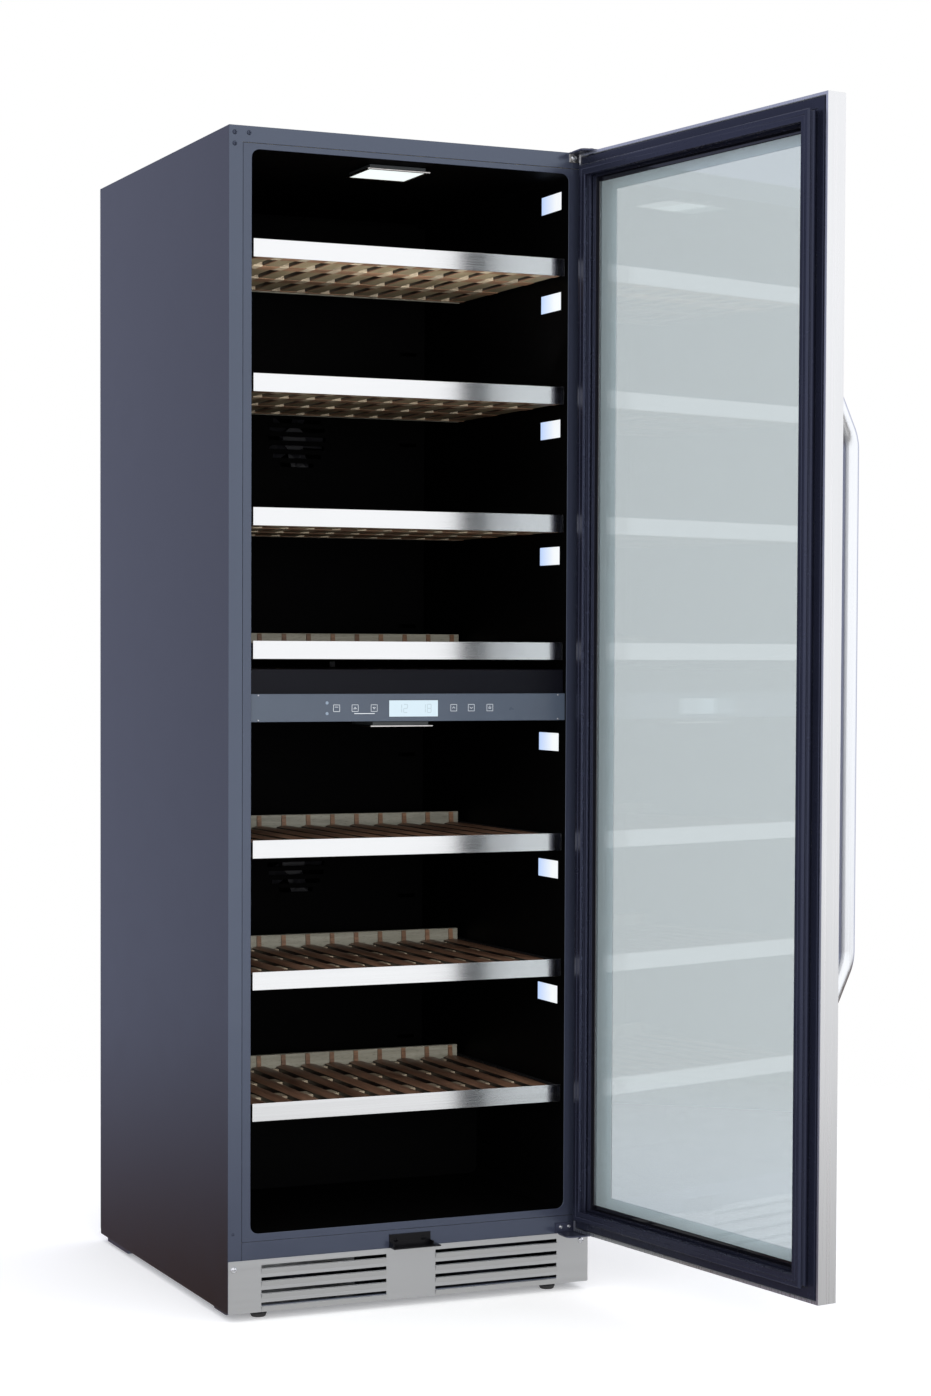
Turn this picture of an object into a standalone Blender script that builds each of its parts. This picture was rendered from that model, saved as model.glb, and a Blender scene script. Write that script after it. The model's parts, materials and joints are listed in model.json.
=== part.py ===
"""Tall two-zone wine cooler with a glass door on the right and seven sliding shelves.

Cabinet axes: x = 0 is the middle of the case, y = 0 its front flange and z = 0 the floor.
The empty "cabinet" carries them, so that the whole object is centred over the world origin.
"""

import math

import bmesh
import bpy
from mathutils import Vector

# Driving sizes, in metres
CASE_W = 0.595
CASE_D = 0.647
CASE_TOP = 1.7655
FOOT_H = 0.012
STEEL = 0.0012
GAP = 0.0003

# Front flange of the case, and the opening of the liner within it
RETURN_SIDE = 0.0217
RETURN_TOP = 0.0242
OPEN_LEFT, OPEN_RIGHT = -0.2620, 0.2555
OPEN_BOTTOM, OPEN_TOP = 0.1297, 1.7323
OPEN_RADIUS = 0.012
LINER_WALL = 0.0025
LINER_REAR = 0.580
LINER_SEAM = 0.118
STEP_FRONT, STEP_TOP = 0.330, 0.270
STEP_INSULATION = 0.035

# Base
KICK_TOP = 0.091
LOUVRE_TOP, LOUVRE_PITCH, LOUVRE_ROWS = 0.0824, 0.0188, 4
LOUVRE_H = 0.0050
LOUVRE_SPANS = ((-0.2452, -0.0437), (0.0374, 0.2433))
FOOT_X, FOOT_FRONT, FOOT_REAR = 0.240, 0.026, 0.600
FOOT_R, STEM_R, STEM_TOP = 0.012, 0.005, 0.034

# Door, stated closed
DOOR_W = 0.595
DOOR_BOTTOM, DOOR_TOP = 0.0945, 1.7624
DOOR_BACK, DOOR_FRONT = -0.0176, -0.0491
PIVOT_X, PIVOT_Y = 0.280, -0.0277
PIN_R, PIN_CLEARANCE = 0.004, 0.0004
DOOR_OPEN = math.radians(98.3)
BORDER, INNER_BORDER = 0.058, 0.049
GLASS_INSET = 0.016
PANE = 0.004

# Handle on the outside of the door, near its free edge
HANDLE_X, HANDLE_R = -0.2645, 0.0125
HANDLE_STANDOFF = 0.040
HANDLE_MID = 0.9297
HANDLE_STRAIGHT, HANDLE_SLOPE = 0.3487, math.radians(27)

# Shelves
SHELF_TOPS = [1.603 - 0.1972 * i for i in range(4)] + [0.7155 - 0.196 * i for i in range(3)]
TRIM_H, TRIM_T, TRIM_Y = 0.027, 0.0015, 0.004
TRIM_HALF_W = 0.2545
WOOD_HALF_W = 0.2480
WOOD_FRONT, WOOD_REAR = 0.0065, 0.395
WOOD_DROP, WOOD_T = 0.003, 0.024
SLATS = 12
SLOT_W = 0.0150
BATTEN_W = 0.034
BATTENS_AT = (0.100, 0.235)
STOP_T, STOP_RISE = 0.016, 0.014
RAIL_W, RAIL_H, RAIL_T = 0.0090, 0.020, 0.0015
RAIL_FRONT, RAIL_REAR = 0.014, 0.420
RUNNER_FRONT, RUNNER_OUT, RUNNER_H = 0.100, 0.0065, 0.014

# Divider between the zones and the control panel in its front
DIVIDER_BOTTOM, DIVIDER_TOP = 0.8915, 0.9695
DIVIDER_FRONT, DIVIDER_REAR = 0.009, 0.578
PANEL_BOTTOM, PANEL_TOP = 0.8910, 0.9325
PANEL_FRONT, PANEL_T = 0.0035, 0.005
DISPLAY = ((-0.0400, 0.8975), (0.0409, 0.9229))

# Lamps and light windows
LAMP_X, LAMP_W, LAMP_D, LAMP_H = -0.012, 0.092, 0.085, 0.0085
LAMP_Y = 0.085
WINDOW_D, WINDOW_H = 0.070, 0.0275
WINDOW_FRONT = 0.026
WINDOW_DROP = 0.062

# Cooling
COVER_Y, COVER_T = 0.495, 0.003
FAN_R, FAN_HUB_R, FAN_T, FAN_BLADES = 0.055, 0.020, 0.022, 5
FAN_Z = (1.350, 0.640)
CONDENSER_FAN = (-0.120, 0.400, 0.085)

MID_X = (OPEN_LEFT + OPEN_RIGHT) / 2
HALF_OPEN = (OPEN_RIGHT - OPEN_LEFT) / 2
HALF_CASE = CASE_W / 2


# Helpers


def clear_scene():
    for obj in list(bpy.data.objects):
        bpy.data.objects.remove(obj, do_unlink=True)


def make_material(name, colour, roughness, metallic=0.0, alpha=1.0, glow=0.0):
    mat = bpy.data.materials.new(name)
    mat.use_nodes = True
    shader = mat.node_tree.nodes["Principled BSDF"]
    shader.inputs["Base Color"].default_value = (*colour, 1.0)
    shader.inputs["Roughness"].default_value = roughness
    shader.inputs["Metallic"].default_value = metallic
    shader.inputs["Alpha"].default_value = alpha
    shader.inputs["Emission Color"].default_value = (*colour, 1.0)
    shader.inputs["Emission Strength"].default_value = glow
    return mat


def make_empty(name, location, parent=None, turn=0.0):
    empty = bpy.data.objects.new(name, None)
    bpy.context.scene.collection.objects.link(empty)
    empty.location = location
    empty.rotation_euler = (0.0, 0.0, turn)
    empty.parent = parent
    return empty


def add_object(name, bm, mat, parent, location=(0, 0, 0), smooth=False):
    """Turns a bmesh into a named object, with its faces pointing out."""
    bmesh.ops.recalc_face_normals(bm, faces=bm.faces)
    mesh = bpy.data.meshes.new(name)
    bm.to_mesh(mesh)
    bm.free()
    mesh.materials.append(mat)
    if smooth:
        mesh.shade_smooth()
        mesh.set_sharp_from_angle(angle=math.radians(35))
    obj = bpy.data.objects.new(name, mesh)
    bpy.context.scene.collection.objects.link(obj)
    obj.location = location
    obj.parent = parent
    return obj


def add_box(bm, lo, hi):
    middle = [(a + b) / 2 for a, b in zip(lo, hi)]
    made = bmesh.ops.create_cube(bm, size=1.0)["verts"]
    bmesh.ops.scale(bm, vec=[b - a for a, b in zip(lo, hi)], verts=made)
    bmesh.ops.translate(bm, vec=middle, verts=made)
    return made


def boxes(*corners):
    bm = bmesh.new()
    for lo, hi in corners:
        add_box(bm, lo, hi)
    return bm


def rounded_box(lo, hi, radius, axis, segments=4):
    """A box whose four edges along axis are rounded."""
    bm = boxes((lo, hi))
    along = [
        edge
        for edge in bm.edges
        if abs((edge.verts[1].co - edge.verts[0].co).normalized()[axis]) > 0.9
    ]
    bmesh.ops.bevel(bm, geom=along, offset=radius, segments=segments, affect="EDGES", profile=0.5)
    return bm


def turned(profile, steps, centre=(0, 0, 0), axis="Z"):
    """A solid of revolution. profile is (radius, height) from the axis back to the axis."""
    bm = bmesh.new()
    rings = []
    for radius, height in profile:
        count = steps if radius > 0 else 1
        ring = []
        for k in range(count):
            angle = 2 * math.pi * k / steps
            across, up = radius * math.cos(angle), radius * math.sin(angle)
            local = (across, up, height) if axis == "Z" else (across, height, up)
            ring.append(bm.verts.new(Vector(local) + Vector(centre)))
        rings.append(ring)
    for low, high in zip(rings, rings[1:]):
        for k in range(steps):
            quad = [low[k % len(low)], low[(k + 1) % len(low)]]
            quad += [high[(k + 1) % len(high)], high[k % len(high)]]
            bm.faces.new(list(dict.fromkeys(quad)))
    return bm


def cylinder(radius, low, high, steps, centre=(0, 0, 0), axis="Z"):
    return turned([(0, low), (radius, low), (radius, high), (0, high)], steps, centre, axis)


def swept(path, radius, sides):
    """A tube of round section along a path in a plane of constant x."""
    bm = bmesh.new()
    rings = []
    for i, point in enumerate(path):
        before, after = path[max(i - 1, 0)], path[min(i + 1, len(path) - 1)]
        ahead = (after - before).normalized()
        side = Vector((1, 0, 0))
        up = ahead.cross(side).normalized()
        angles = [2 * math.pi * k / sides for k in range(sides)]
        rings.append(
            [bm.verts.new(point + radius * (math.cos(a) * side + math.sin(a) * up)) for a in angles]
        )
    for low, high in zip(rings, rings[1:]):
        for k in range(sides):
            bm.faces.new((low[k], low[(k + 1) % sides], high[(k + 1) % sides], high[k]))
    bm.faces.new(rings[0])
    bm.faces.new(rings[-1])
    return bm


def mitred_ring(profile, left, right, bottom, top):
    """A closed profile of (inset, y) points swept round a rectangle, with mitred corners."""
    bm = bmesh.new()
    corners = []
    for side_x, step_x, side_z, step_z in (
        (left, 1, bottom, 1),
        (right, -1, bottom, 1),
        (right, -1, top, -1),
        (left, 1, top, -1),
    ):
        corners.append(
            [bm.verts.new((side_x + step_x * i, y, side_z + step_z * i)) for i, y in profile]
        )
    count = len(profile)
    for c in range(4):
        here, there = corners[c], corners[(c + 1) % 4]
        for k in range(count):
            bm.faces.new((here[k], here[(k + 1) % count], there[(k + 1) % count], there[k]))
    return bm


def extruded(outline, start, end, axis):
    """A closed outline extruded along X (points are y, z) or Y (points are x, z)."""
    bm = bmesh.new()
    ends = []
    for place in (start, end):
        if axis == "X":
            ends.append([bm.verts.new((place, a, b)) for a, b in outline])
        else:
            ends.append([bm.verts.new((a, place, b)) for a, b in outline])
    count = len(outline)
    for k in range(count):
        bm.faces.new((ends[0][k], ends[0][(k + 1) % count], ends[1][(k + 1) % count], ends[1][k]))
    bm.faces.new(ends[0])
    bm.faces.new(ends[1])
    return bm


def merge(*parts):
    """Several bmeshes in one, still separate shells."""
    whole = bmesh.new()
    for bm in parts:
        held = bpy.data.meshes.new("held")
        bm.to_mesh(held)
        bm.free()
        whole.from_mesh(held)
        bpy.data.meshes.remove(held)
    return whole


def boolean(target, operation, bm, location=(0, 0, 0)):
    """Cuts a bmesh from the target, or fuses it on, with a hidden helper."""
    label = f"{target.name}_{operation.lower()}_{len(target.modifiers)}"
    helper = add_object(label, bm, target.data.materials[0], target.parent, location)
    helper.hide_render = True
    helper.display_type = "WIRE"
    modifier = target.modifiers.new(operation.title(), "BOOLEAN")
    modifier.operation = operation
    modifier.solver = "EXACT"
    modifier.use_self = operation == "UNION"
    modifier.object = helper


def cut(target, bm, location=(0, 0, 0)):
    boolean(target, "DIFFERENCE", bm, location)


def fuse(target, bm, location=(0, 0, 0)):
    boolean(target, "UNION", bm, location)


# Materials


def make_materials():
    return {
        "painted steel": make_material("painted steel", (0.082, 0.092, 0.122), 0.42, 0.3),
        "zinc steel": make_material("zinc steel", (0.46, 0.47, 0.48), 0.45, 0.9),
        "black plastic": make_material("black plastic", (0.012, 0.012, 0.014), 0.45),
        "foam": make_material("foam", (0.78, 0.72, 0.52), 0.9),
        "panel plastic": make_material("panel plastic", (0.105, 0.125, 0.160), 0.38),
        "display": make_material("display", (0.72, 0.86, 0.92), 0.2, glow=1.5),
        "light": make_material("light", (0.92, 0.96, 1.0), 0.3, glow=4.0),
        "stainless": make_material("stainless", (0.66, 0.66, 0.65), 0.26, 1.0),
        "polished": make_material("polished", (0.80, 0.80, 0.80), 0.10, 1.0),
        "hinge steel": make_material("hinge steel", (0.10, 0.11, 0.15), 0.32, 0.8),
        "rubber": make_material("rubber", (0.018, 0.018, 0.022), 0.6),
        "glass": make_material("glass", (0.62, 0.68, 0.68), 0.03, alpha=0.45),
        "wood": make_material("wood", (0.150, 0.085, 0.052), 0.55),
        "compressor paint": make_material("compressor paint", (0.02, 0.02, 0.022), 0.35),
        "copper": make_material("copper", (0.62, 0.34, 0.22), 0.3, 1.0),
        "aluminium": make_material("aluminium", (0.74, 0.75, 0.76), 0.35, 1.0),
    }


# Case and insulation


def build_outer_case(mat, cabinet):
    """Folded steel wrapper: both sides, the top and a flange turned in at the front."""
    case = add_object(
        "outer_case",
        boxes(((-HALF_CASE, 0, FOOT_H), (HALF_CASE, CASE_D - STEEL - GAP, CASE_TOP))),
        mat["painted steel"],
        cabinet,
    )
    inner_x = HALF_CASE - STEEL
    cut(case, boxes(((-inner_x, STEEL, -0.1), (inner_x, CASE_D + 0.1, CASE_TOP - STEEL))))
    front_x = HALF_CASE - RETURN_SIDE
    cut(case, boxes(((-front_x, -0.1, -0.1), (front_x, 0.05, CASE_TOP - RETURN_TOP))))


def build_rear_panel(mat, cabinet):
    """Back sheet, with louvres low down for the compressor and a cable gland in a corner."""
    panel = add_object(
        "rear_panel",
        boxes(((-HALF_CASE, CASE_D - STEEL, 0.020), (HALF_CASE, CASE_D, CASE_TOP))),
        mat["zinc steel"],
        cabinet,
    )
    rows = [0.060 + 0.022 * i for i in range(7)]
    slots = [
        ((x, CASE_D - 0.05, z), (x + 0.16, CASE_D + 0.05, z + 0.008)) for z in rows for x in (-0.19, 0.03)
    ]
    cut(panel, boxes(*slots))
    fuse(panel, cylinder(0.011, -0.009, 0.0006, 12, (0.235, CASE_D - STEEL, 0.045), "Y"))


def liner_cavity(grow, front, radius):
    """The space inside the liner, or the liner's outside when grown, as a cutter."""
    low = (OPEN_LEFT - grow, front, OPEN_BOTTOM - grow)
    high = (OPEN_RIGHT + grow, LINER_REAR + grow, OPEN_TOP + grow)
    bm = rounded_box(low, high, radius, axis=1)
    held = add_object("cavity_shape", bm, bpy.data.materials["foam"], None)
    step_low = (OPEN_LEFT - 0.1, STEP_FRONT + grow, OPEN_BOTTOM - 0.1)
    step_high = (OPEN_RIGHT + 0.1, LINER_REAR + 0.1, STEP_TOP - grow)
    cut(held, boxes((step_low, step_high)))
    bpy.context.view_layer.update()
    shape = bmesh.new()
    shape.from_object(held, bpy.context.evaluated_depsgraph_get())
    for obj in [held.modifiers[0].object, held]:
        bpy.data.objects.remove(obj, do_unlink=True)
    return shape


def window_centres():
    """Heights of the light windows: under the ceiling, under each shelf, under the divider."""
    upper = [OPEN_TOP - 0.0368] + [top - WINDOW_DROP for top in SHELF_TOPS[:3]]
    lower = [PANEL_BOTTOM - 0.035] + [top - WINDOW_DROP + 0.003 for top in SHELF_TOPS[4:6]]
    return upper + lower


def window_boxes(x_low, x_high, margin):
    low_y, high_y = WINDOW_FRONT - margin, WINDOW_FRONT + WINDOW_D + margin
    half = WINDOW_H / 2 + margin
    return [((x_low, low_y, z - half), (x_high, high_y, z + half)) for z in window_centres()]


def build_inner_liner(mat, cabinet):
    """One-piece black liner: flange, walls and the step over the compressor."""
    side = HALF_CASE - RETURN_SIDE - GAP
    liner = add_object(
        "inner_liner",
        boxes(((-side, 0, LINER_SEAM), (side, LINER_WALL, CASE_TOP - RETURN_TOP - GAP))),
        mat["black plastic"],
        cabinet,
    )
    fuse(liner, liner_cavity(LINER_WALL, 0.0012, OPEN_RADIUS + LINER_WALL))
    cut(liner, liner_cavity(0.0, -0.05, OPEN_RADIUS))
    cut(liner, boxes(*window_boxes(OPEN_RIGHT - 0.01, OPEN_RIGHT + 0.02, GAP)))


def build_insulation(mat, cabinet):
    """Foam between the case and the liner, cut away over the compressor."""
    side = HALF_CASE - STEEL - GAP
    foam = add_object(
        "insulation_foam",
        boxes(((-side, LINER_WALL + 2 * GAP, 0.095), (side, CASE_D - STEEL - GAP, CASE_TOP - STEEL - GAP))),
        mat["foam"],
        cabinet,
    )
    cut(foam, liner_cavity(LINER_WALL + GAP, -0.05, OPEN_RADIUS + LINER_WALL))
    compartment_front = STEP_FRONT + STEP_INSULATION
    cut(foam, boxes(((-0.5, compartment_front, -0.1), (0.5, 1.0, STEP_TOP - STEP_INSULATION))))
    bar_x = OPEN_RIGHT + LINER_WALL
    heights = window_centres()
    low = (bar_x - 0.01, WINDOW_FRONT - 0.006, heights[-1] - 0.026)
    high = (bar_x + 0.0095, WINDOW_FRONT + WINDOW_D + 0.006, heights[0] + 0.026)
    cut(foam, boxes((low, high)))


def build_side_light(mat, cabinet):
    """Light guide behind the right wall: one bar, with a window through the liner at each bay."""
    back = OPEN_RIGHT + LINER_WALL + GAP
    heights = window_centres()
    low = (back, WINDOW_FRONT - 0.005, heights[-1] - 0.025)
    high = (back + 0.008, WINDOW_FRONT + WINDOW_D + 0.005, heights[0] + 0.025)
    bar = add_object("side_light", boxes((low, high)), mat["light"], cabinet)
    fuse(bar, boxes(*window_boxes(OPEN_RIGHT, back + 0.002, 0.0)))


# Base


def foot_places():
    return {
        "front_left_foot": (-FOOT_X, FOOT_FRONT),
        "front_right_foot": (FOOT_X, FOOT_FRONT),
        "rear_left_foot": (-FOOT_X, FOOT_REAR),
        "rear_right_foot": (FOOT_X, FOOT_REAR),
    }


def build_base(mat, cabinet):
    """Steel tray under everything: floor, front crossmember and the skids by the feet."""
    side = HALF_CASE - STEEL - GAP
    front_x = HALF_CASE - RETURN_SIDE - GAP
    tray = add_object(
        "base_tray",
        boxes(((-side, 0.0018, FOOT_H + GAP), (side, CASE_D - STEEL - GAP, FOOT_H + GAP + 0.002))),
        mat["painted steel"],
        cabinet,
    )
    fuse(tray, boxes(((-front_x, 0, FOOT_H + GAP), (front_x, 0.0030, LINER_SEAM - GAP))))
    cut(tray, boxes(((-0.252, -0.05, 0.022), (0.252, 0.05, KICK_TOP - 0.004))))
    left_end = ((-0.5, -0.05, -0.05), (-front_x, STEEL + GAP, 0.5))
    right_end = ((front_x, -0.05, -0.05), (0.5, STEEL + GAP, 0.5))
    cut(tray, boxes(left_end, right_end))
    skids = []
    for sign in (-1, 1):
        low_x, high_x = sorted((sign * (side - 0.020), sign * side))
        skids.append(((low_x, 0.498, 0.0055), (high_x, 0.610, FOOT_H + 0.001)))
        skids.append(((low_x, 0.013, 0.0085), (high_x, 0.067, FOOT_H + 0.001)))
    fuse(tray, boxes(*skids))
    holes = [cylinder(STEM_R + 0.0004, -0.05, 0.05, 16, (x, y, 0)) for x, y in foot_places().values()]
    cut(tray, merge(*holes))


def build_feet(mat, cabinet):
    """Screw-in levelling feet: a tapered pad on a stem through the tray."""
    profile = [
        (0, 0),
        (FOOT_R - 0.002, 0),
        (FOOT_R, 0.004),
        (FOOT_R, 0.0065),
        (STEM_R, 0.0075),
        (STEM_R, STEM_TOP),
        (0, STEM_TOP),
    ]
    for name, (x, y) in foot_places().items():
        add_object(name, turned(profile, 20), mat["rubber"], cabinet, (x, y, 0), smooth=True)


def build_kick_plate(mat, cabinet):
    """Stainless plate with two banks of pressed louvres."""
    back = -GAP
    front = back - 0.0015
    plate = add_object(
        "kick_plate",
        rounded_box((-HALF_CASE, front, FOOT_H), (HALF_CASE, back, KICK_TOP), 0.0015, axis=1, segments=2),
        mat["stainless"],
        cabinet,
    )
    tops = [LOUVRE_TOP - LOUVRE_PITCH * i for i in range(LOUVRE_ROWS)]
    slots = [((a, -0.05, z - LOUVRE_H), (b, 0.05, z)) for z in tops for a, b in LOUVRE_SPANS]
    cut(plate, boxes(*slots))
    lips = []
    for z in tops:
        low = z - LOUVRE_H
        outline = [
            (back - 0.0005, low - 0.0004),
            (front - 0.0030, low - 0.0004),
            (front - 0.0030, low - 0.0016),
            (front, low - 0.0085),
            (back - 0.0005, low - 0.0085),
        ]
        lips += [extruded(outline, a, b, "X") for a, b in LOUVRE_SPANS]
    fuse(plate, merge(*lips))


def build_lock_catch(mat, cabinet):
    """Black angle bracket on the crossmember, under the middle of the closed door."""
    angle = [
        (-GAP, KICK_TOP + GAP),
        (-GAP, 0.1150),
        (-0.0023, 0.1150),
        (-0.0023, KICK_TOP + 0.0023),
        (-0.0200, KICK_TOP + 0.0023),
        (-0.0200, KICK_TOP + GAP),
    ]
    catch = add_object(
        "lock_catch", extruded(angle, -0.0389, 0.0391, "X"), mat["hinge steel"], cabinet
    )
    cut(catch, boxes(((-0.018, -0.0145, 0.0), (0.018, -0.0085, 0.2))))


# Shelves


def wooden_shelf():
    """Twelve slats let into battens, a raised stop board at the back and a runner for each rail."""
    slat_w = (2 * WOOD_HALF_W - (SLATS - 1) * SLOT_W) / SLATS
    pitch = slat_w + SLOT_W
    top = -WOOD_DROP
    under = top - WOOD_T
    cells = []
    battens = [(WOOD_FRONT, WOOD_FRONT + 0.022)]
    battens += [(y, y + BATTEN_W) for y in BATTENS_AT]
    battens.append((WOOD_REAR - STOP_T - 0.012, WOOD_REAR))
    for i in range(SLATS):
        left = -WOOD_HALF_W + i * pitch
        cells.append(((left, WOOD_FRONT, under), (left + slat_w, WOOD_REAR, top)))
    cells += [((-WOOD_HALF_W, a, under), (WOOD_HALF_W, b, top - 0.004)) for a, b in battens]
    stop_front = WOOD_REAR - STOP_T
    cells.append(((-WOOD_HALF_W, stop_front, under), (WOOD_HALF_W, WOOD_REAR, STOP_RISE)))
    middle = -TRIM_H / 2
    for side in (-1, 1):
        inner, outer = sorted((side * (WOOD_HALF_W - slat_w), side * (WOOD_HALF_W + RUNNER_OUT)))
        low = (inner, RUNNER_FRONT, middle - RUNNER_H / 2)
        high = (outer, WOOD_REAR, middle + RUNNER_H / 2)
        cells.append((low, high))
    return lattice(cells)


def lattice(cells):
    """The union of axis-aligned boxes, as one closed mesh."""
    cuts = []
    for axis in range(3):
        places = sorted({round(corner[axis], 6) for cell in cells for corner in cell})
        cuts.append(places)

    def inside(i, j, k):
        if min(i, j, k) < 0 or any(n >= len(c) - 1 for n, c in zip((i, j, k), cuts)):
            return False
        point = [(c[n] + c[n + 1]) / 2 for n, c in zip((i, j, k), cuts)]
        return any(all(a < p < b for a, p, b in zip(lo, point, hi)) for lo, hi in cells)

    bm = bmesh.new()
    corners = {}

    def corner(index):
        if index not in corners:
            corners[index] = bm.verts.new([c[n] for n, c in zip(index, cuts)])
        return corners[index]

    for i in range(len(cuts[0]) - 1):
        for j in range(len(cuts[1]) - 1):
            for k in range(len(cuts[2]) - 1):
                if not inside(i, j, k):
                    continue
                for axis in range(3):
                    for side in (0, 1):
                        beside = [i, j, k]
                        beside[axis] += 2 * side - 1
                        if inside(*beside):
                            continue
                        flat = [i, j, k]
                        flat[axis] += side
                        u, v = (axis + 1) % 3, (axis + 2) % 3
                        quad = []
                        for du, dv in ((0, 0), (1, 0), (1, 1), (0, 1)):
                            at = list(flat)
                            at[u] += du
                            at[v] += dv
                            quad.append(corner(tuple(at)))
                        bm.faces.new(quad)
    bmesh.ops.recalc_face_normals(bm, faces=bm.faces)
    bmesh.ops.dissolve_limit(bm, angle_limit=0.01, verts=bm.verts, edges=bm.edges)
    return bm


def build_shelves(mat, cabinet):
    """Each shelf is a wooden rack with a stainless front, which slide out together."""
    for number, top in enumerate(SHELF_TOPS, 1):
        place = (MID_X, 0, top)
        shelf = make_empty(f"shelf_{number}_slide", place, cabinet)
        rack = wooden_shelf()
        add_object(f"shelf_{number}_slats", rack, mat["wood"], shelf)
        trim = boxes(((-TRIM_HALF_W, TRIM_Y, -TRIM_H), (TRIM_HALF_W, TRIM_Y + TRIM_T, 0)))
        add_object(f"shelf_{number}_trim", trim, mat["polished"], shelf)
        build_rails(number, place, mat, cabinet)


def build_rails(number, place, mat, cabinet):
    """A steel channel on each side wall, open towards the shelf."""
    low, high = -TRIM_H / 2 - RAIL_H / 2, -TRIM_H / 2 + RAIL_H / 2
    wall = HALF_OPEN - GAP
    channel = [
        (wall, low),
        (wall, high),
        (wall - RAIL_W, high),
        (wall - RAIL_W, high - RAIL_T),
        (wall - RAIL_T, high - RAIL_T),
        (wall - RAIL_T, low + RAIL_T),
        (wall - RAIL_W, low + RAIL_T),
        (wall - RAIL_W, low),
    ]
    for side, sign in (("left", -1), ("right", 1)):
        outline = [(sign * x, z) for x, z in channel]
        rail = extruded(outline, RAIL_FRONT, RAIL_REAR, "Y")
        add_object(f"shelf_{number}_{side}_rail", rail, mat["zinc steel"], cabinet, place)


# Divider, control panel and lamps


def build_divider(mat, cabinet):
    """Insulated floor between the zones, with a recess in its front for the controls."""
    low = (OPEN_LEFT + GAP, DIVIDER_FRONT, DIVIDER_BOTTOM)
    high = (OPEN_RIGHT - GAP, DIVIDER_REAR, DIVIDER_TOP)
    divider = add_object("zone_divider", boxes((low, high)), mat["black plastic"], cabinet)
    (left, bottom), (right, top) = DISPLAY
    recess = ((left - 0.01, -0.05, bottom - 0.002), (right + 0.01, DIVIDER_FRONT + 0.008, top + 0.006))
    cut(divider, boxes(recess))
    cut(divider, refrigerant_line(0.005))


def build_control_panel(mat, cabinet):
    """Plastic fascia with a window for the display."""
    low = (OPEN_LEFT + GAP, PANEL_FRONT, PANEL_BOTTOM)
    high = (OPEN_RIGHT - GAP, PANEL_FRONT + PANEL_T, PANEL_TOP)
    panel = add_object("control_panel", boxes((low, high)), mat["panel plastic"], cabinet)
    (left, bottom), (right, top) = DISPLAY
    cut(panel, boxes(((left, -0.05, bottom), (right, 0.05, top))))


def build_display(mat, cabinet):
    """Circuit board behind the fascia, with the display standing up through the window."""
    (left, bottom), (right, top) = DISPLAY
    rear = PANEL_FRONT + PANEL_T + GAP
    board_low = (left - 0.008, rear, bottom - 0.0015)
    board_high = (right + 0.008, rear + 0.0065, top + 0.005)
    board = add_object("display_module", boxes((board_low, board_high)), mat["display"], cabinet)
    glass_low = (left + GAP, PANEL_FRONT + 0.0004, bottom + GAP)
    glass_high = (right - GAP, rear + 0.002, top - GAP)
    fuse(board, boxes((glass_low, glass_high)))


def build_lamps(mat, cabinet):
    """A flat lamp under the ceiling of each zone."""
    under = {"upper_lamp": OPEN_TOP - GAP, "lower_lamp": PANEL_BOTTOM - GAP}
    fronts = {"upper_lamp": LAMP_Y - LAMP_D / 2, "lower_lamp": DIVIDER_FRONT + 0.016}
    for name, ceiling in under.items():
        front = fronts[name]
        low = (LAMP_X - LAMP_W / 2, front, ceiling - LAMP_H)
        high = (LAMP_X + LAMP_W / 2, front + LAMP_D, ceiling)
        lamp = add_object(name, rounded_box(low, high, 0.003, axis=2, segments=2), mat["light"], cabinet)
        flange_low = (low[0] - 0.005, low[1] - 0.005, low[2])
        flange_high = (high[0] + 0.005, high[1] + 0.005, low[2] + 0.002)
        fuse(lamp, boxes((flange_low, flange_high)))


# Cooling circuit


def fan_blades(centre):
    """A hub with pitched blades; it turns about the Y axis through centre."""
    hub = turned(
        [(0, -FAN_T / 2), (FAN_HUB_R, -FAN_T / 2), (FAN_HUB_R, FAN_T / 2 - 0.003), (0, FAN_T / 2)],
        20,
        centre,
        "Y",
    )
    blades = []
    for k in range(FAN_BLADES):
        blade = bmesh.new()
        made = add_box(blade, (FAN_HUB_R - 0.003, -0.001, -0.014), (FAN_R, 0.001, 0.014))
        for vert in made:
            share = (vert.co.x - FAN_HUB_R) / (FAN_R - FAN_HUB_R)
            pitch = math.radians(38 - 16 * share)
            y, z = vert.co.y, vert.co.z
            vert.co.y = y * math.cos(pitch) - z * math.sin(pitch)
            vert.co.z = y * math.sin(pitch) + z * math.cos(pitch)
        turn = 2 * math.pi * k / FAN_BLADES
        for vert in made:
            x, z = vert.co.x, vert.co.z
            vert.co.x = x * math.cos(turn) - z * math.sin(turn)
            vert.co.z = x * math.sin(turn) + z * math.cos(turn)
        bmesh.ops.translate(blade, vec=centre, verts=made)
        blades.append(blade)
    return hub, merge(*blades)


def build_fan(name, centre, mat, cabinet):
    axle = make_empty(f"{name}_axis", centre, cabinet)
    hub, blades = fan_blades((0, 0, 0))
    fan = add_object(name, hub, mat["black plastic"], axle)
    fuse(fan, blades)


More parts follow.
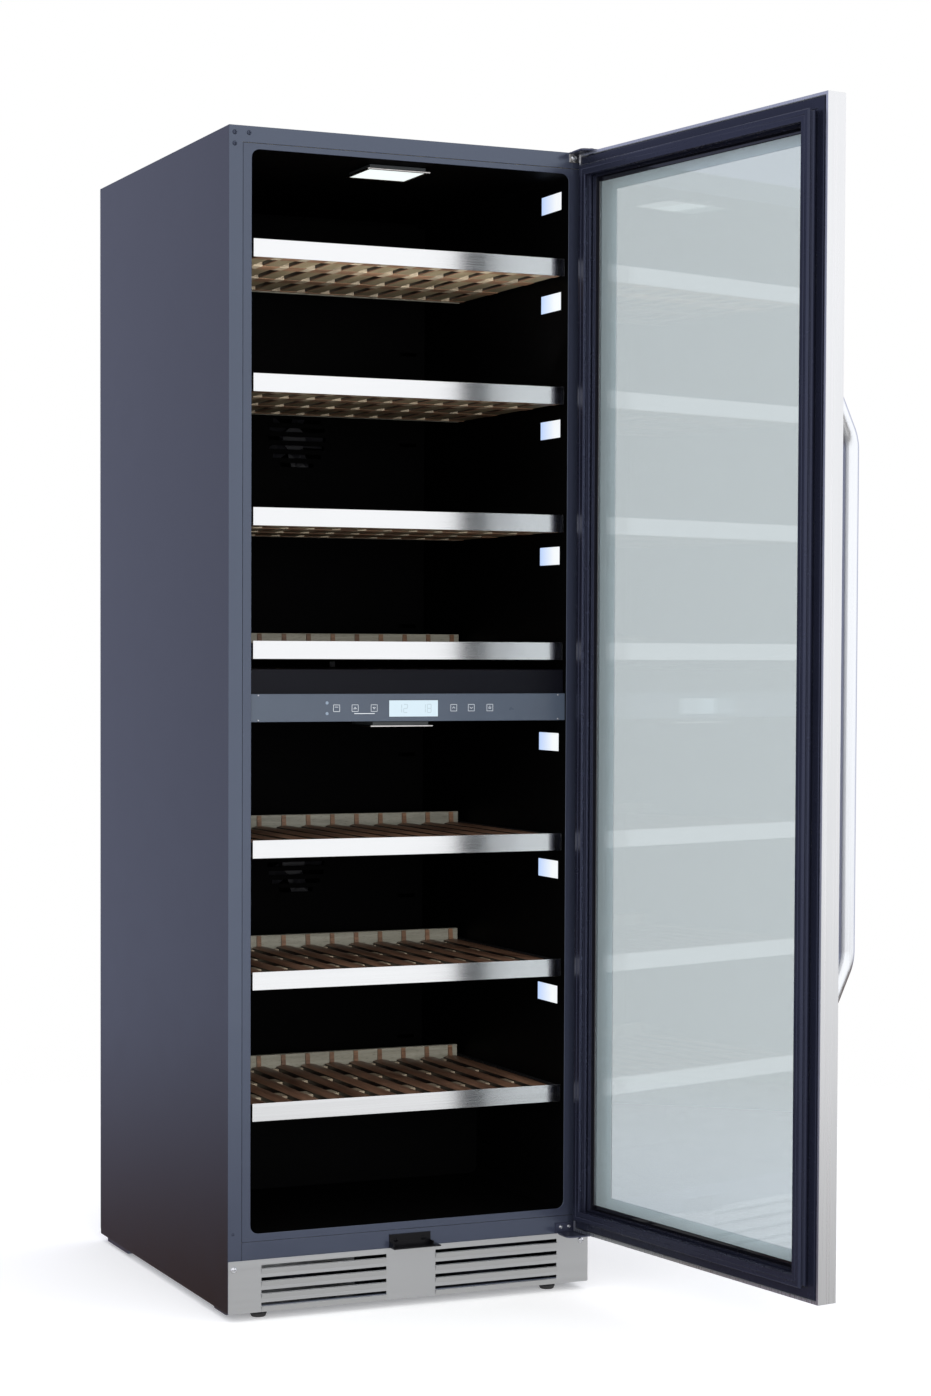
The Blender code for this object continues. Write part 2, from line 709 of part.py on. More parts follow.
def build_fan_covers(mat, cabinet):
    """Duct covers on the rear wall, one in each zone, with a grille before the fan."""
    spans = {
        "upper_fan_cover": (DIVIDER_TOP + 0.010, OPEN_TOP - 0.020, FAN_Z[0]),
        "lower_fan_cover": (STEP_TOP + 0.010, DIVIDER_BOTTOM - 0.010, FAN_Z[1]),
    }
    half = HALF_OPEN - 0.028
    for name, (low_z, high_z, fan_z) in spans.items():
        low = (MID_X - half, COVER_Y, low_z)
        high = (MID_X + half, LINER_REAR - GAP, high_z)
        cover = add_object(name, boxes((low, high)), mat["black plastic"], cabinet)
        inner_low = (low[0] + COVER_T, COVER_Y + COVER_T, low_z + COVER_T)
        inner_high = (high[0] - COVER_T, 1.0, high_z - COVER_T)
        cut(cover, boxes((inner_low, inner_high)))
        grille = []
        for i in range(-3, 4):
            z = fan_z + 0.0145 * i
            reach = math.sqrt(FAN_R**2 - (0.0145 * i) ** 2) - 0.004
            low = (MID_X - reach, COVER_Y - 0.05, z - 0.0035)
            grille.append((low, (MID_X + reach, COVER_Y + 0.05, z + 0.0035)))
        for side in (-1, 1):
            vent_low, vent_high = sorted((MID_X + side * (half - 0.045), MID_X + side * (half - 0.015)))
            for i in range(5):
                z = low_z + 0.060 + i * (high_z - low_z - 0.120) / 4
                grille.append(((vent_low, COVER_Y - 0.05, z - 0.003), (vent_high, COVER_Y + 0.05, z + 0.003)))
        cut(cover, boxes(*grille))
        cut(cover, refrigerant_line(0.005))


def refrigerant_line(margin):
    """The line between the two halves of the evaporator, or the passage for it when grown."""
    low = (MID_X + 0.090 - margin, LINER_REAR - 0.011 - margin, 0.540 - margin)
    high = (MID_X + 0.098 + margin, LINER_REAR - 0.004 + margin, 1.060 + margin)
    return boxes((low, high))


def build_evaporator(mat, cabinet):
    """Two finned plates, one behind each cover, joined by the refrigerant line between them."""
    rear = LINER_REAR - 0.005
    front = rear - 0.022
    lower = ((MID_X - 0.11, front, 0.330), (MID_X + 0.11, rear, 0.560))
    upper = ((MID_X - 0.11, front, 1.030), (MID_X + 0.11, rear, 1.270))
    evaporator = add_object("evaporator", boxes(upper), mat["aluminium"], cabinet)
    fuse(evaporator, boxes(lower))
    fuse(evaporator, refrigerant_line(0.0))
    grooves = []
    for low, high in (lower, upper):
        count = 9
        pitch = (high[0] - low[0]) / (count + 1)
        for i in range(count):
            x = low[0] + pitch * (i + 1)
            groove = (x - 0.006, front - 0.01, low[2] + 0.012)
            grooves.append((groove, (x + 0.006, rear - 0.008, high[2] - 0.012)))
    cut(evaporator, boxes(*grooves))


def build_compressor(mat, cabinet):
    """Hermetic compressor: a welded shell on a base plate."""
    floor = FOOT_H + GAP + 0.002 + GAP
    profile = [
        (0, 0.012),
        (0.070, 0.012),
        (0.078, 0.024),
        (0.078, 0.086),
        (0.083, 0.090),
        (0.083, 0.096),
        (0.078, 0.100),
        (0.074, 0.140),
        (0.055, 0.162),
        (0, 0.172),
    ]
    place = (0.100, 0.500, floor)
    paint = mat["compressor paint"]
    shell = add_object("compressor", turned(profile, 24), paint, cabinet, place, smooth=True)
    plate = ((-0.095, -0.070, 0.0), (0.095, 0.070, 0.004))
    mounts = [((x - 0.012, -0.012, 0.003), (x + 0.012, 0.012, 0.030)) for x in (-0.060, 0.060)]
    fuse(shell, boxes(plate), place)
    fuse(shell, boxes(*mounts), place)
    fuse(shell, boxes(((0.070, -0.030, 0.050), (0.110, 0.030, 0.110))), place)


def build_condenser(mat, cabinet):
    """Finned condenser behind the kick plate, with its fan behind it."""
    low = (-0.235, 0.200, 0.020)
    high = (-0.015, 0.255, 0.092)
    core = add_object("condenser", boxes((low, high)), mat["aluminium"], cabinet)
    count = 11
    pitch = (high[0] - low[0]) / (count + 1)
    grooves = []
    for i in range(count):
        x = low[0] + pitch * (i + 1)
        groove = (x - 0.006, low[1] + 0.004, low[2] + 0.006)
        grooves.append((groove, (x + 0.006, high[1] + 0.01, high[2] + 0.01)))
    cut(core, boxes(*grooves))


# Door


def build_hinges(mat, cabinet):
    """Fixed brackets with their pins: the lower carries the door, the upper holds its top."""
    lower_outline = [
        (-GAP, KICK_TOP + GAP),
        (-GAP, 0.1071),
        (-0.0025, 0.1071),
        (-0.0025, KICK_TOP + 0.0025),
        (-0.0040, KICK_TOP + 0.0025),
        (-0.0040, KICK_TOP + GAP),
    ]
    lower = add_object(
        "lower_hinge", extruded(lower_outline, 0.2413, 0.2735, "X"), mat["hinge steel"], cabinet
    )
    arm_low = (0.2413, -0.0450, KICK_TOP + GAP)
    arm_high = (0.2940, -0.0018 - GAP, KICK_TOP + 0.0025)
    arm = rounded_box(arm_low, arm_high, 0.010, axis=2, segments=3)
    fuse(lower, arm)
    pin_at = (PIVOT_X, PIVOT_Y, 0)
    fuse(lower, cylinder(PIN_R, KICK_TOP + 0.001, DOOR_BOTTOM + 0.011, 20, pin_at))

    top_face = DOOR_TOP + GAP
    upper_outline = [
        (-GAP, 1.7500),
        (-GAP, top_face + 0.0030),
        (-0.0060, top_face + 0.0030),
        (-0.0060, top_face),
        (-0.0028, top_face),
        (-0.0028, 1.7500),
    ]
    upper = add_object(
        "upper_hinge", extruded(upper_outline, 0.2556, 0.2705, "X"), mat["hinge steel"], cabinet
    )
    arm = rounded_box((0.2556, -0.0450, top_face), (0.2950, -0.0040, top_face + 0.0030), 0.008, 2, 3)
    fuse(upper, arm)
    fuse(upper, cylinder(PIN_R, DOOR_TOP - 0.011, top_face + 0.0062, 20, pin_at))


def pin_holes():
    holes = []
    for low, high in ((DOOR_BOTTOM - 0.02, DOOR_BOTTOM + 0.012), (DOOR_TOP - 0.012, DOOR_TOP + 0.02)):
        holes.append(cylinder(PIN_R + PIN_CLEARANCE, low, high, 20, (0, 0, 0)))
    return merge(*holes)


def build_door(mat, cabinet):
    """Stainless frame, inner frame, seal, double glazing and handle, hung on the hinge axis."""
    door = make_empty("door_axis", (PIVOT_X, PIVOT_Y, 0), cabinet, DOOR_OPEN)
    left, right = -DOOR_W / 2 - PIVOT_X, DOOR_W / 2 - PIVOT_X
    edges = (left, right, DOOR_BOTTOM, DOOR_TOP)
    front, back = DOOR_FRONT - PIVOT_Y, DOOR_BACK - PIVOT_Y
    sheet = 0.0015

    channel = [
        (0, front),
        (BORDER, front),
        (BORDER, front + sheet),
        (sheet, front + sheet),
        (sheet, back - sheet),
        (0.0043, back - sheet),
        (0.0043, back),
        (0, back),
    ]
    frame = add_object("door_frame", mitred_ring(channel, *edges), mat["stainless"], door)
    cut(frame, pin_holes())

    glass_front = front + sheet + GAP
    glass_back = glass_front + 2 * PANE + 0.016
    low = (left + GLASS_INSET, glass_front, DOOR_BOTTOM + GLASS_INSET)
    high = (right - GLASS_INSET, glass_back, DOOR_TOP - GLASS_INSET)
    glass = add_object("door_glass", boxes((low, high)), mat["glass"], door)
    spacer = 0.010
    gas_low = (low[0] + spacer, glass_front + PANE, low[2] + spacer)
    gas_high = (high[0] - spacer, glass_back - PANE, high[2] - spacer)
    cut(glass, boxes((gas_low, gas_high)))
    middle_y = (glass_front + glass_back) / 2
    filling_hole = ((low[0] - 0.01, middle_y - 0.003, 1.60), (gas_low[0] + 0.01, middle_y + 0.003, 1.606))
    cut(glass, boxes(filling_hole))

    inner = [
        (0.0046, back + 0.0015),
        (INNER_BORDER - 0.004, back + 0.0015),
        (INNER_BORDER, glass_back + GAP),
        (0.0046, glass_back + GAP),
    ]
    add_object("door_inner_frame", mitred_ring(inner, *edges), mat["black plastic"], door)

    seal = back + 0.0015 + GAP
    tip = -PIVOT_Y - 0.0006
    lip = [
        (0.0215, tip),
        (0.0385, tip),
        (0.0385, tip - 0.0050),
        (0.0345, tip - 0.0080),
        (0.0370, seal),
        (0.0230, seal),
        (0.0255, tip - 0.0080),
        (0.0215, tip - 0.0050),
    ]
    add_object("door_gasket", mitred_ring(lip, *edges), mat["rubber"], door)
    build_handle(front, mat, door)


def handle_path(front):
    """From one sloping leg to the other, with a smooth bend into the straight grip."""
    reach = HANDLE_STANDOFF + 0.03
    bend = 0.060
    x = HANDLE_X - PIVOT_X
    out = front - HANDLE_STANDOFF
    corner = HANDLE_STRAIGHT + bend * math.tan(HANDLE_SLOPE / 2)
    half = [Vector((x, out, 0.0)), Vector((x, out, HANDLE_STRAIGHT))]
    steps = 4
    for i in range(1, steps + 1):
        angle = HANDLE_SLOPE * i / steps
        half.append(
            Vector((x, out + bend * (1 - math.cos(angle)), HANDLE_STRAIGHT + bend * math.sin(angle)))
        )
    end_z = corner + reach / math.tan(HANDLE_SLOPE)
    half.append(Vector((x, out + reach, end_z)))
    path = [Vector((p.x, p.y, -p.z)) for p in reversed(half[1:])] + half[1:]
    return [p + Vector((0, 0, HANDLE_MID)) for p in path]


def build_handle(front, mat, door):
    """A bent tube whose sloping ends meet the door's face."""
    handle = add_object(
        "door_handle", swept(handle_path(front), HANDLE_R, 16), mat["stainless"], door, smooth=True
    )
    cut(handle, boxes(((-1.0, front - GAP, 0.0), (0.5, front + 0.2, 2.0))))


# Assembly


def origin_shift():
    """Moves the cabinet so that the whole object, door open, is centred over the origin."""
    cos_a, sin_a = math.cos(DOOR_OPEN), math.sin(DOOR_OPEN)

    def opened(x, y):
        dx, dy = x - PIVOT_X, y - PIVOT_Y
        return PIVOT_X + dx * cos_a - dy * sin_a, PIVOT_Y + dx * sin_a + dy * cos_a

    far_x = opened(HANDLE_X, DOOR_FRONT - HANDLE_STANDOFF)[0] + HANDLE_R
    near_y = opened(-DOOR_W / 2, DOOR_BACK)[1]
    return (HALF_CASE - far_x) / 2, -(near_y + CASE_D) / 2


def main():
    clear_scene()
    mat = make_materials()
    cabinet = make_empty("cabinet", (*origin_shift(), 0.0))
    build_outer_case(mat, cabinet)
    build_rear_panel(mat, cabinet)
    build_inner_liner(mat, cabinet)
    build_insulation(mat, cabinet)
    build_side_light(mat, cabinet)
    build_base(mat, cabinet)
    build_feet(mat, cabinet)
    build_kick_plate(mat, cabinet)
    build_lock_catch(mat, cabinet)
    build_shelves(mat, cabinet)
    build_divider(mat, cabinet)
    build_control_panel(mat, cabinet)
    build_display(mat, cabinet)
    build_lamps(mat, cabinet)
    build_fan_covers(mat, cabinet)
    fan_y = COVER_Y + COVER_T + FAN_T / 2 + 0.010
    build_fan("upper_fan", (MID_X, fan_y, FAN_Z[0]), mat, cabinet)
    build_fan("lower_fan", (MID_X, fan_y, FAN_Z[1]), mat, cabinet)
    build_fan("condenser_fan", CONDENSER_FAN, mat, cabinet)
    build_evaporator(mat, cabinet)
    build_compressor(mat, cabinet)
    build_condenser(mat, cabinet)
    build_hinges(mat, cabinet)
    build_door(mat, cabinet)


main()
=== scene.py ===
"""Looks of the two-zone wine cooler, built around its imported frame."""

import json
import math
import random

import bmesh
import bpy
from mathutils import Matrix, Vector


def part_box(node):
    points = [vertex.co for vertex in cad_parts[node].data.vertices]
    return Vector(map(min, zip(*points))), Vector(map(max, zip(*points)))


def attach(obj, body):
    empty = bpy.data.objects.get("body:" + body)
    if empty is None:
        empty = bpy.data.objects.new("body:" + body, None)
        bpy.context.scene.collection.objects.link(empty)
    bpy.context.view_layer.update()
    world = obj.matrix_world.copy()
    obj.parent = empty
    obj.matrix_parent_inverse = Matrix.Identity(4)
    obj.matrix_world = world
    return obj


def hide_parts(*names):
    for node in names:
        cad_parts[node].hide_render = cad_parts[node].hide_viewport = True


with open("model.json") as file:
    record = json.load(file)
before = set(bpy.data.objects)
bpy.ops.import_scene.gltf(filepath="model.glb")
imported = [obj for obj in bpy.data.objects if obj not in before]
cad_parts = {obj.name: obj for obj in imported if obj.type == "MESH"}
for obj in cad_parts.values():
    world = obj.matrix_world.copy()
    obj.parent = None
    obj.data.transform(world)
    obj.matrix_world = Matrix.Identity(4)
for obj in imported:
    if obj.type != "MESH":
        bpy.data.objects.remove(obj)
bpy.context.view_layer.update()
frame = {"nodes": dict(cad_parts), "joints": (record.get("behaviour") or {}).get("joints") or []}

# Camera, fitted to the photograph
CAMERA_PLACE = (-1.7569, -3.9849, 0.9948)
CAMERA_TURN, CAMERA_PITCH, CAMERA_ROLL = 24.0725, -2.0158, 0.2341
LENS = 73.34
SHIFT = (0.0021, 0.0393)

# The door's own axes: closed, with the hinge pin as origin
HINGE = next(j for j in frame["joints"] if j["name"] == "door_hinge")
PIVOT = Vector(HINGE["pos_m"])
DOOR_OPEN = math.radians(-HINGE["range_deg"][0])
DOOR = Matrix.Translation((PIVOT.x, PIVOT.y, 0)) @ Matrix.Rotation(DOOR_OPEN, 4, "Z")

FACE_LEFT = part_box("outer_case")[0].x
FACE_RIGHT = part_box("outer_case")[1].x
MIDDLE = (FACE_LEFT + FACE_RIGHT) / 2
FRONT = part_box("outer_case")[0].y
SHELVES = range(1, 8)

WELD = 2e-6  # corners closer than this are one
FACE_LEAD = 4  # how strongly the larger faces lead the shading at a corner

# The woods of a shelf, and the material index of each; all but the slat and batten woods are
# lighter or darker copies that paint light and shade.
WOODS = ("wood_y", "wood_x", "wood_painted_highlight", "wood_painted_shade", "wood_painted_lit", "wood_painted_underlight")
SLAT, BATTEN, BOARD_PAINTED_LIGHT, SHADED_SIDE, LIT_BETWEEN, LIT_UNDERSIDE = range(6)


def from_case(x, y, z):
    """A point given from the middle of the case, its front flange and the floor."""
    return Vector((MIDDLE + x, FRONT + y, z))


# Mesh helpers


def weigh_normals(mesh, angle):
    """Smooth shading up to an angle, led by the large faces, so that flats stay flat."""
    limit = math.cos(math.radians(angle))
    normals = [polygon.normal.copy() for polygon in mesh.polygons]
    areas = [polygon.area for polygon in mesh.polygons]
    around = [[] for _ in mesh.vertices]
    for polygon in mesh.polygons:
        for vertex in polygon.vertices:
            around[vertex].append(polygon.index)
    corners = []
    for polygon in mesh.polygons:
        own = normals[polygon.index]
        for vertex in polygon.vertices:
            total = own * 1e-6
            largest = max(max(areas[other] for other in around[vertex]), 1e-12)
            for other in around[vertex]:
                if normals[other].dot(own) > limit:
                    total = total + normals[other] * (areas[other] / largest) ** FACE_LEAD
            corners.append(total.normalized())
    mesh.normals_split_custom_set(corners)


def order_faces(bm):
    """Sorts the faces, because rounding leaves them in another order on each run."""
    bm.verts.index_update()
    ordered = sorted(bm.faces, key=lambda face: sorted(vert.index for vert in face.verts))
    rank = {face: place for place, face in enumerate(ordered)}
    bm.faces.sort(key=lambda face: rank[face])
    bm.faces.index_update()


def finish_object(name, bm, materials, body, replaces=(), place=None, angle=50):
    """Makes the object, shades it and hands it to the frame."""
    mesh = bpy.data.meshes.new(name)
    order_faces(bm)
    bm.to_mesh(mesh)
    bm.free()
    for mat in materials if isinstance(materials, (list, tuple)) else [materials]:
        mesh.materials.append(mat)
    mesh.shade_smooth()
    weigh_normals(mesh, angle)
    obj = bpy.data.objects.new(name, mesh)
    bpy.context.scene.collection.objects.link(obj)
    if place is not None:
        obj.matrix_world = place
    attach(obj, body)
    if replaces:
        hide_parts(*([replaces] if isinstance(replaces, str) else replaces))
    return obj


def node_bmesh(node):
    """The node's solid as a clean bmesh: one vertex per corner and flat faces whole."""
    bm = bmesh.new()
    bm.from_mesh(frame["nodes"][node].data)
    bmesh.ops.remove_doubles(bm, verts=bm.verts, dist=WELD)
    bmesh.ops.dissolve_limit(bm, angle_limit=math.radians(0.5), verts=bm.verts, edges=bm.edges)
    return bm


def bevel_sharp(bm, width, segments):
    """Rounds every edge where two faces meet at more than 30 degrees."""
    limit = math.radians(30)
    sharp = [e for e in bm.edges if len(e.link_faces) == 2 and e.calc_face_angle(0) >= limit]
    shape = {"offset": width, "segments": segments, "profile": 0.5}
    bmesh.ops.bevel(bm, geom=sharp, affect="EDGES", clamp_overlap=True, **shape)
    bmesh.ops.dissolve_degenerate(bm, dist=WELD, edges=bm.edges)


def rounded_node(node, mat, width, segments, paint=None, angle=50):
    """The CAD node with its sharp edges rounded. paint says which material a face has."""
    bm = node_bmesh(node)
    bevel_sharp(bm, width, segments)
    bm.normal_update()
    if paint:
        for face in bm.faces:
            face.material_index = paint(face)
    return finish_object(f"{node}_body", bm, mat, "cabinet", node, angle=angle)


def mark_new(bm, before, material, tone=0.0):
    """Gives the faces made since before their material and wood tone."""
    layer = bm.faces.layers.float.get("tone") or bm.faces.layers.float.new("tone")
    for face in set(bm.faces) - before:
        face.material_index = material
        face[layer] = tone


def add_block(bm, low, high, bevel, segments, material=0, tone=0.0):
    """A rounded block in a bmesh, with its own wood tone."""
    if not bm.faces.layers.float.get("tone"):
        bm.faces.layers.float.new("tone")
    before = set(bm.faces)
    made = bmesh.ops.create_cube(bm, size=1.0)["verts"]
    bmesh.ops.scale(bm, vec=[b - a for a, b in zip(low, high)], verts=made)
    bmesh.ops.translate(bm, vec=[(a + b) / 2 for a, b in zip(low, high)], verts=made)
    edges = list(dict.fromkeys(edge for vert in made for edge in vert.link_edges))
    bmesh.ops.bevel(bm, geom=edges, offset=bevel, segments=segments, profile=0.5, affect="EDGES")
    mark_new(bm, before, material, tone)


def turned(profile, steps, bm=None, centre=(0, 0, 0), axis=(0, 0, 1)):
    """A solid of revolution about axis: profile is (radius, height) from axis to axis."""
    bm = bm or bmesh.new()
    spin = Vector((0, 0, 1)).rotation_difference(Vector(axis)).to_matrix()
    rings = []
    for radius, height in profile:
        count = steps if radius > 0 else 1
        ring = []
        for k in range(count):
            a = 2 * math.pi * k / steps
            point = spin @ Vector((radius * math.cos(a), radius * math.sin(a), height))
            ring.append(bm.verts.new(point + Vector(centre)))
        rings.append(ring)
    for low, high in zip(rings, rings[1:]):
        for k in range(steps):
            quad = [low[k % len(low)], low[(k + 1) % len(low)]]
            quad += [high[(k + 1) % len(high)], high[k % len(high)]]
            bm.faces.new(list(dict.fromkeys(quad)))
    return bm


def mitred_ring(profile, left, right, bottom, top, bm=None):
    """A closed (inset, y) profile swept round a rectangle in the XZ plane."""
    bm = bm or bmesh.new()
    corners = []
    for side_x, step_x, side_z, step_z in (
        (left, 1, bottom, 1),
        (right, -1, bottom, 1),
        (right, -1, top, -1),
        (left, 1, top, -1),
    ):
        corners.append(
            [bm.verts.new((side_x + step_x * i, y, side_z + step_z * i)) for i, y in profile]
        )
    count = len(profile)
    for c in range(4):
        here, there = corners[c], corners[(c + 1) % 4]
        for k in range(count):
            bm.faces.new((here[k], here[(k + 1) % count], there[(k + 1) % count], there[k]))
    bmesh.ops.recalc_face_normals(bm, faces=bm.faces)
    return bm


def rounded_profile(points, radius):
    """A closed profile with each corner replaced by a small arc."""
    steps = 3
    out = []
    count = len(points)
    for i, point in enumerate(points):
        here = Vector(point)
        before, after = Vector(points[i - 1]), Vector(points[(i + 1) % count])
        a, b = (before - here), (after - here)
        r = min(radius, a.length * 0.45, b.length * 0.45)
        start, end = here + a.normalized() * r, here + b.normalized() * r
        for k in range(steps + 1):
            t = k / steps
            out.append(tuple((1 - t) ** 2 * start + 2 * t * (1 - t) * here + t**2 * end))
    return out


def swept(path, radius, sides):
    """A tube along a path that lies in the YZ plane, closed at both ends."""
    side = Vector((1, 0, 0))
    bm = bmesh.new()
    rings = []
    for i, point in enumerate(path):
        before, after = path[max(i - 1, 0)], path[min(i + 1, len(path) - 1)]
        up = (after - before).normalized().cross(side).normalized()
        angles = [2 * math.pi * k / sides for k in range(sides)]
        rings.append(
            [bm.verts.new(point + radius * (math.cos(a) * side + math.sin(a) * up)) for a in angles]
        )
    for low, high in zip(rings, rings[1:]):
        for k in range(sides):
            bm.faces.new((low[k], low[(k + 1) % sides], high[(k + 1) % sides], high[k]))
    bm.faces.new(rings[0])
    bm.faces.new(rings[-1])
    bmesh.ops.recalc_face_normals(bm, faces=bm.faces)
    return bm


def in_door(node):
    """Lowest and highest corner of a door node in the door's own axes."""
    back = DOOR.inverted()
    points = [back @ v.co for v in frame["nodes"][node].data.vertices]
    low = Vector([min(p[i] for p in points) for i in range(3)])
    high = Vector([max(p[i] for p in points) for i in range(3)])
    return low, high


def screw_head(bm, centre, axis, radius, height):
    """A pan head with a cross recess, standing on a surface and facing along axis."""
    steps, rings = 24, 7
    crown = 0.45  # how much lower the rim is than the middle
    arm_width, arm_reach, arm_depth = 0.13, 0.66, 0.62
    undercut = 0.97
    spin = Vector((0, 0, 1)).rotation_difference(Vector(axis)).to_matrix()
    rows = []
    for i in range(rings + 1):
        share = i / rings
        row = []
        for k in range(steps if i else 1):
            a = 2 * math.pi * k / steps
            x, y = share * math.cos(a), share * math.sin(a)
            z = height * (1 - share**2 * crown) if i < rings else 0.0
            if min(abs(x), abs(y)) < arm_width and share < arm_reach and i < rings:
                z -= height * arm_depth
            x, y = (x * undercut, y * undercut) if i == rings - 1 else (x, y)
            row.append(bm.verts.new(Vector(centre) + spin @ Vector((x * radius, y * radius, z))))
        rows.append(row)
    for low, high in zip(rows, rows[1:]):
        for k in range(steps):
            face = [low[k % len(low)], high[k], high[(k + 1) % steps], low[(k + 1) % len(low)]]
            bm.faces.new(list(dict.fromkeys(face)))
    bm.faces.new(list(reversed(rows[-1])))
    return bm


# Material helpers


def fill_ramp(node, stops):
    """Gives a colour ramp its stops, each a position and a colour."""
    elements = node.color_ramp.elements
    while len(elements) < len(stops):
        elements.new(0.5)
    for element, (position, colour) in zip(elements, stops):
        element.position = position
        element.color = (*colour, 1.0)


class Nodes:
    """A short way to write a material's node tree."""

    def __init__(self, name):
        self.mat = bpy.data.materials.new(name)
        self.mat.use_nodes = True
        self.tree = self.mat.node_tree
        self.shader = self.tree.nodes["Principled BSDF"]
        self.output = self.tree.nodes["Material Output"]

    def add(self, kind, **values):
        """Adds a node, with values for its settings and inputs."""
        node = self.tree.nodes.new(kind)
        for key, value in values.items():
            if hasattr(node, key):
                setattr(node, key, value)
            else:
                node.inputs[key.replace("_", " ")].default_value = value
        return node

    def link(self, source, target):
        self.tree.links.new(source, target)

    def place(self, scale=(1, 1, 1), shift=None):
        """Object coordinates, scaled, and shifted by a socket if one is given."""
        coordinates = self.add("ShaderNodeTexCoord")
        mapping = self.add("ShaderNodeMapping", Scale=scale)
        self.link(coordinates.outputs["Object"], mapping.inputs["Vector"])
        if shift is not None:
            self.link(shift, mapping.inputs["Location"])
        return mapping.outputs["Vector"]

    def noise(self, vector, scale, detail, roughness=0.5, distortion=0.0):
        node = self.add("ShaderNodeTexNoise", Scale=scale, Detail=detail)
        node.inputs["Roughness"].default_value = roughness
        node.inputs["Distortion"].default_value = distortion
        self.link(vector, node.inputs["Vector"])
        return node.outputs["Fac"]

    def ramp(self, fac, *stops):
        node = self.add("ShaderNodeValToRGB")
        fill_ramp(node, stops)
        self.link(fac, node.inputs["Fac"])
        return node.outputs["Color"]

    def span(self, fac, low, high, low_in=0.0, high_in=1.0):
        ends = {"From_Min": low_in, "From_Max": high_in, "To_Min": low, "To_Max": high}
        node = self.add("ShaderNodeMapRange", **ends)
        self.link(fac, node.inputs["Value"])
        return node.outputs["Result"]

    def mix(self, fac, a, b, blend="MIX"):
        node = self.add("ShaderNodeMix", data_type="RGBA", blend_type=blend)
        for index, value in ((0, fac), (6, a), (7, b)):
            socket = node.inputs[index]
            if isinstance(value, bpy.types.NodeSocket):
                self.link(value, socket)
            else:
                socket.default_value = value if index == 0 else (*value, 1.0)
        return node.outputs[2]

    def math(self, operation, a, b):
        node = self.add("ShaderNodeMath", operation=operation)
        for index, value in ((0, a), (1, b)):
            if isinstance(value, bpy.types.NodeSocket):
                self.link(value, node.inputs[index])
            else:
                node.inputs[index].default_value = value
        return node.outputs[0]

    def bump(self, height, strength, distance):
        node = self.add("ShaderNodeBump", Strength=strength, Distance=distance)
        self.link(height, node.inputs["Height"])
        self.link(node.outputs["Normal"], self.shader.inputs["Normal"])

    def set(self, **values):
        for key, value in values.items():
            socket = self.shader.inputs[key.replace("_", " ")]
            if isinstance(value, bpy.types.NodeSocket):
                self.link(value, socket)
            else:
                socket.default_value = (*value, 1.0) if isinstance(value, tuple) else value


def shade(colour, factor):
    return tuple(c * factor for c in colour)


def painted(name, colour, roughness, metallic=0.0, specular=0.5, peel=0.25, sheen=(1, 1, 1)):
    """Powder-coated sheet: orange peel, faint clouds and a slight change of sheen."""
    n = Nodes(name)
    at = n.place()
    clouds = n.noise(at, 5.0, 4.0)
    n.set(Base_Color=n.mix(clouds, shade(colour, 0.90), shade(colour, 1.10)))
    n.set(Roughness=n.span(n.noise(at, 26.0, 3.0), roughness - 0.05, roughness + 0.05))
    n.set(Metallic=metallic, Specular_IOR_Level=specular, Specular_Tint=sheen)
    n.bump(n.noise(at, 950.0, 2.0), peel, 0.0002)
    return n.mat


def moulded(
    name, colour, roughness, specular=0.5, grain=0.2, scale=1400.0, sheen=(1, 1, 1), painted_glow=0.0
):
    """Moulded plastic or rubber with a fine grain and faint sheen marks, and where it is given a
    glow, which is painted light.
    """
    n = Nodes(name)
    at = n.place()
    n.set(Base_Color=n.mix(n.noise(at, 9.0, 4.0), shade(colour, 0.85), shade(colour, 1.15)))
    n.set(Roughness=n.span(n.noise(at, 60.0, 4.0), roughness - 0.06, roughness + 0.06))
    n.set(Specular_IOR_Level=specular, Specular_Tint=sheen)
    n.set(Emission_Color=colour, Emission_Strength=painted_glow)
    n.bump(n.noise(at, scale, 2.0), grain, 0.00012)
    return n.mat


def brushed(name, colour, roughness, stretch, depth, contrast, spread=0.06):
    """Metal with fine lines along the axis whose stretch is smallest."""
    n = Nodes(name)
    lines = n.noise(n.place(stretch), 1.0, 2.0, 0.5)
    clouds = n.noise(n.place(), 7.0, 3.0)
    tone = n.mix(lines, shade(colour, 1 - contrast), shade(colour, 1 + contrast))
    n.set(Base_Color=n.mix(clouds, tone, shade(colour, 0.96)))
    n.set(Roughness=n.span(lines, roughness - spread, roughness + spread, 0.25, 0.75))
    n.set(Metallic=1.0)
    n.bump(lines, depth, 0.0001)
    return n.mat


def wooden(name, along, dark, light):
    """Stained beech: grain along X or Y, flecks, pores and a tone of its own per piece."""
    n = Nodes(name)
    tone = n.add("ShaderNodeAttribute", attribute_name="tone")
    combine = n.add("ShaderNodeCombineXYZ")
    for axis, spread in (("X", 3.7), ("Y", 9.1), ("Z", 3.7)):
        n.link(n.math("MULTIPLY", tone.outputs["Fac"], spread), combine.inputs[axis])
    shift = combine.outputs["Vector"]
    scale = (4, 60, 60) if along == "X" else (60, 4, 60)
    fleck = (90, 1400, 900) if along == "X" else (1400, 90, 900)
    grain = n.noise(n.place(scale, shift), 1.0, 5.0, 0.6, 1.4)
    flecks = n.noise(n.place(fleck, shift), 1.0, 2.0, 0.5)
    base = n.ramp(grain, (0.30, dark), (0.52, shade(light, 0.72)), (0.74, light))
    marked = n.mix(n.span(flecks, 0.0, 0.75, 0.56, 0.72), base, shade(dark, 0.6))
    own = n.mix(n.span(tone.outputs["Fac"], 0.0, 1.0), shade((1, 1, 1), 0.78), (1.15, 1.12, 1.08))
    n.set(Base_Color=n.mix(1.0, marked, own, "MULTIPLY"))
    n.set(Roughness=n.span(grain, 0.34, 0.52), Specular_IOR_Level=0.32)
    n.set(Coat_Weight=0.10, Coat_Roughness=0.3)
    n.bump(n.math("ADD", grain, flecks), 0.18, 0.0003)
    return n.mat


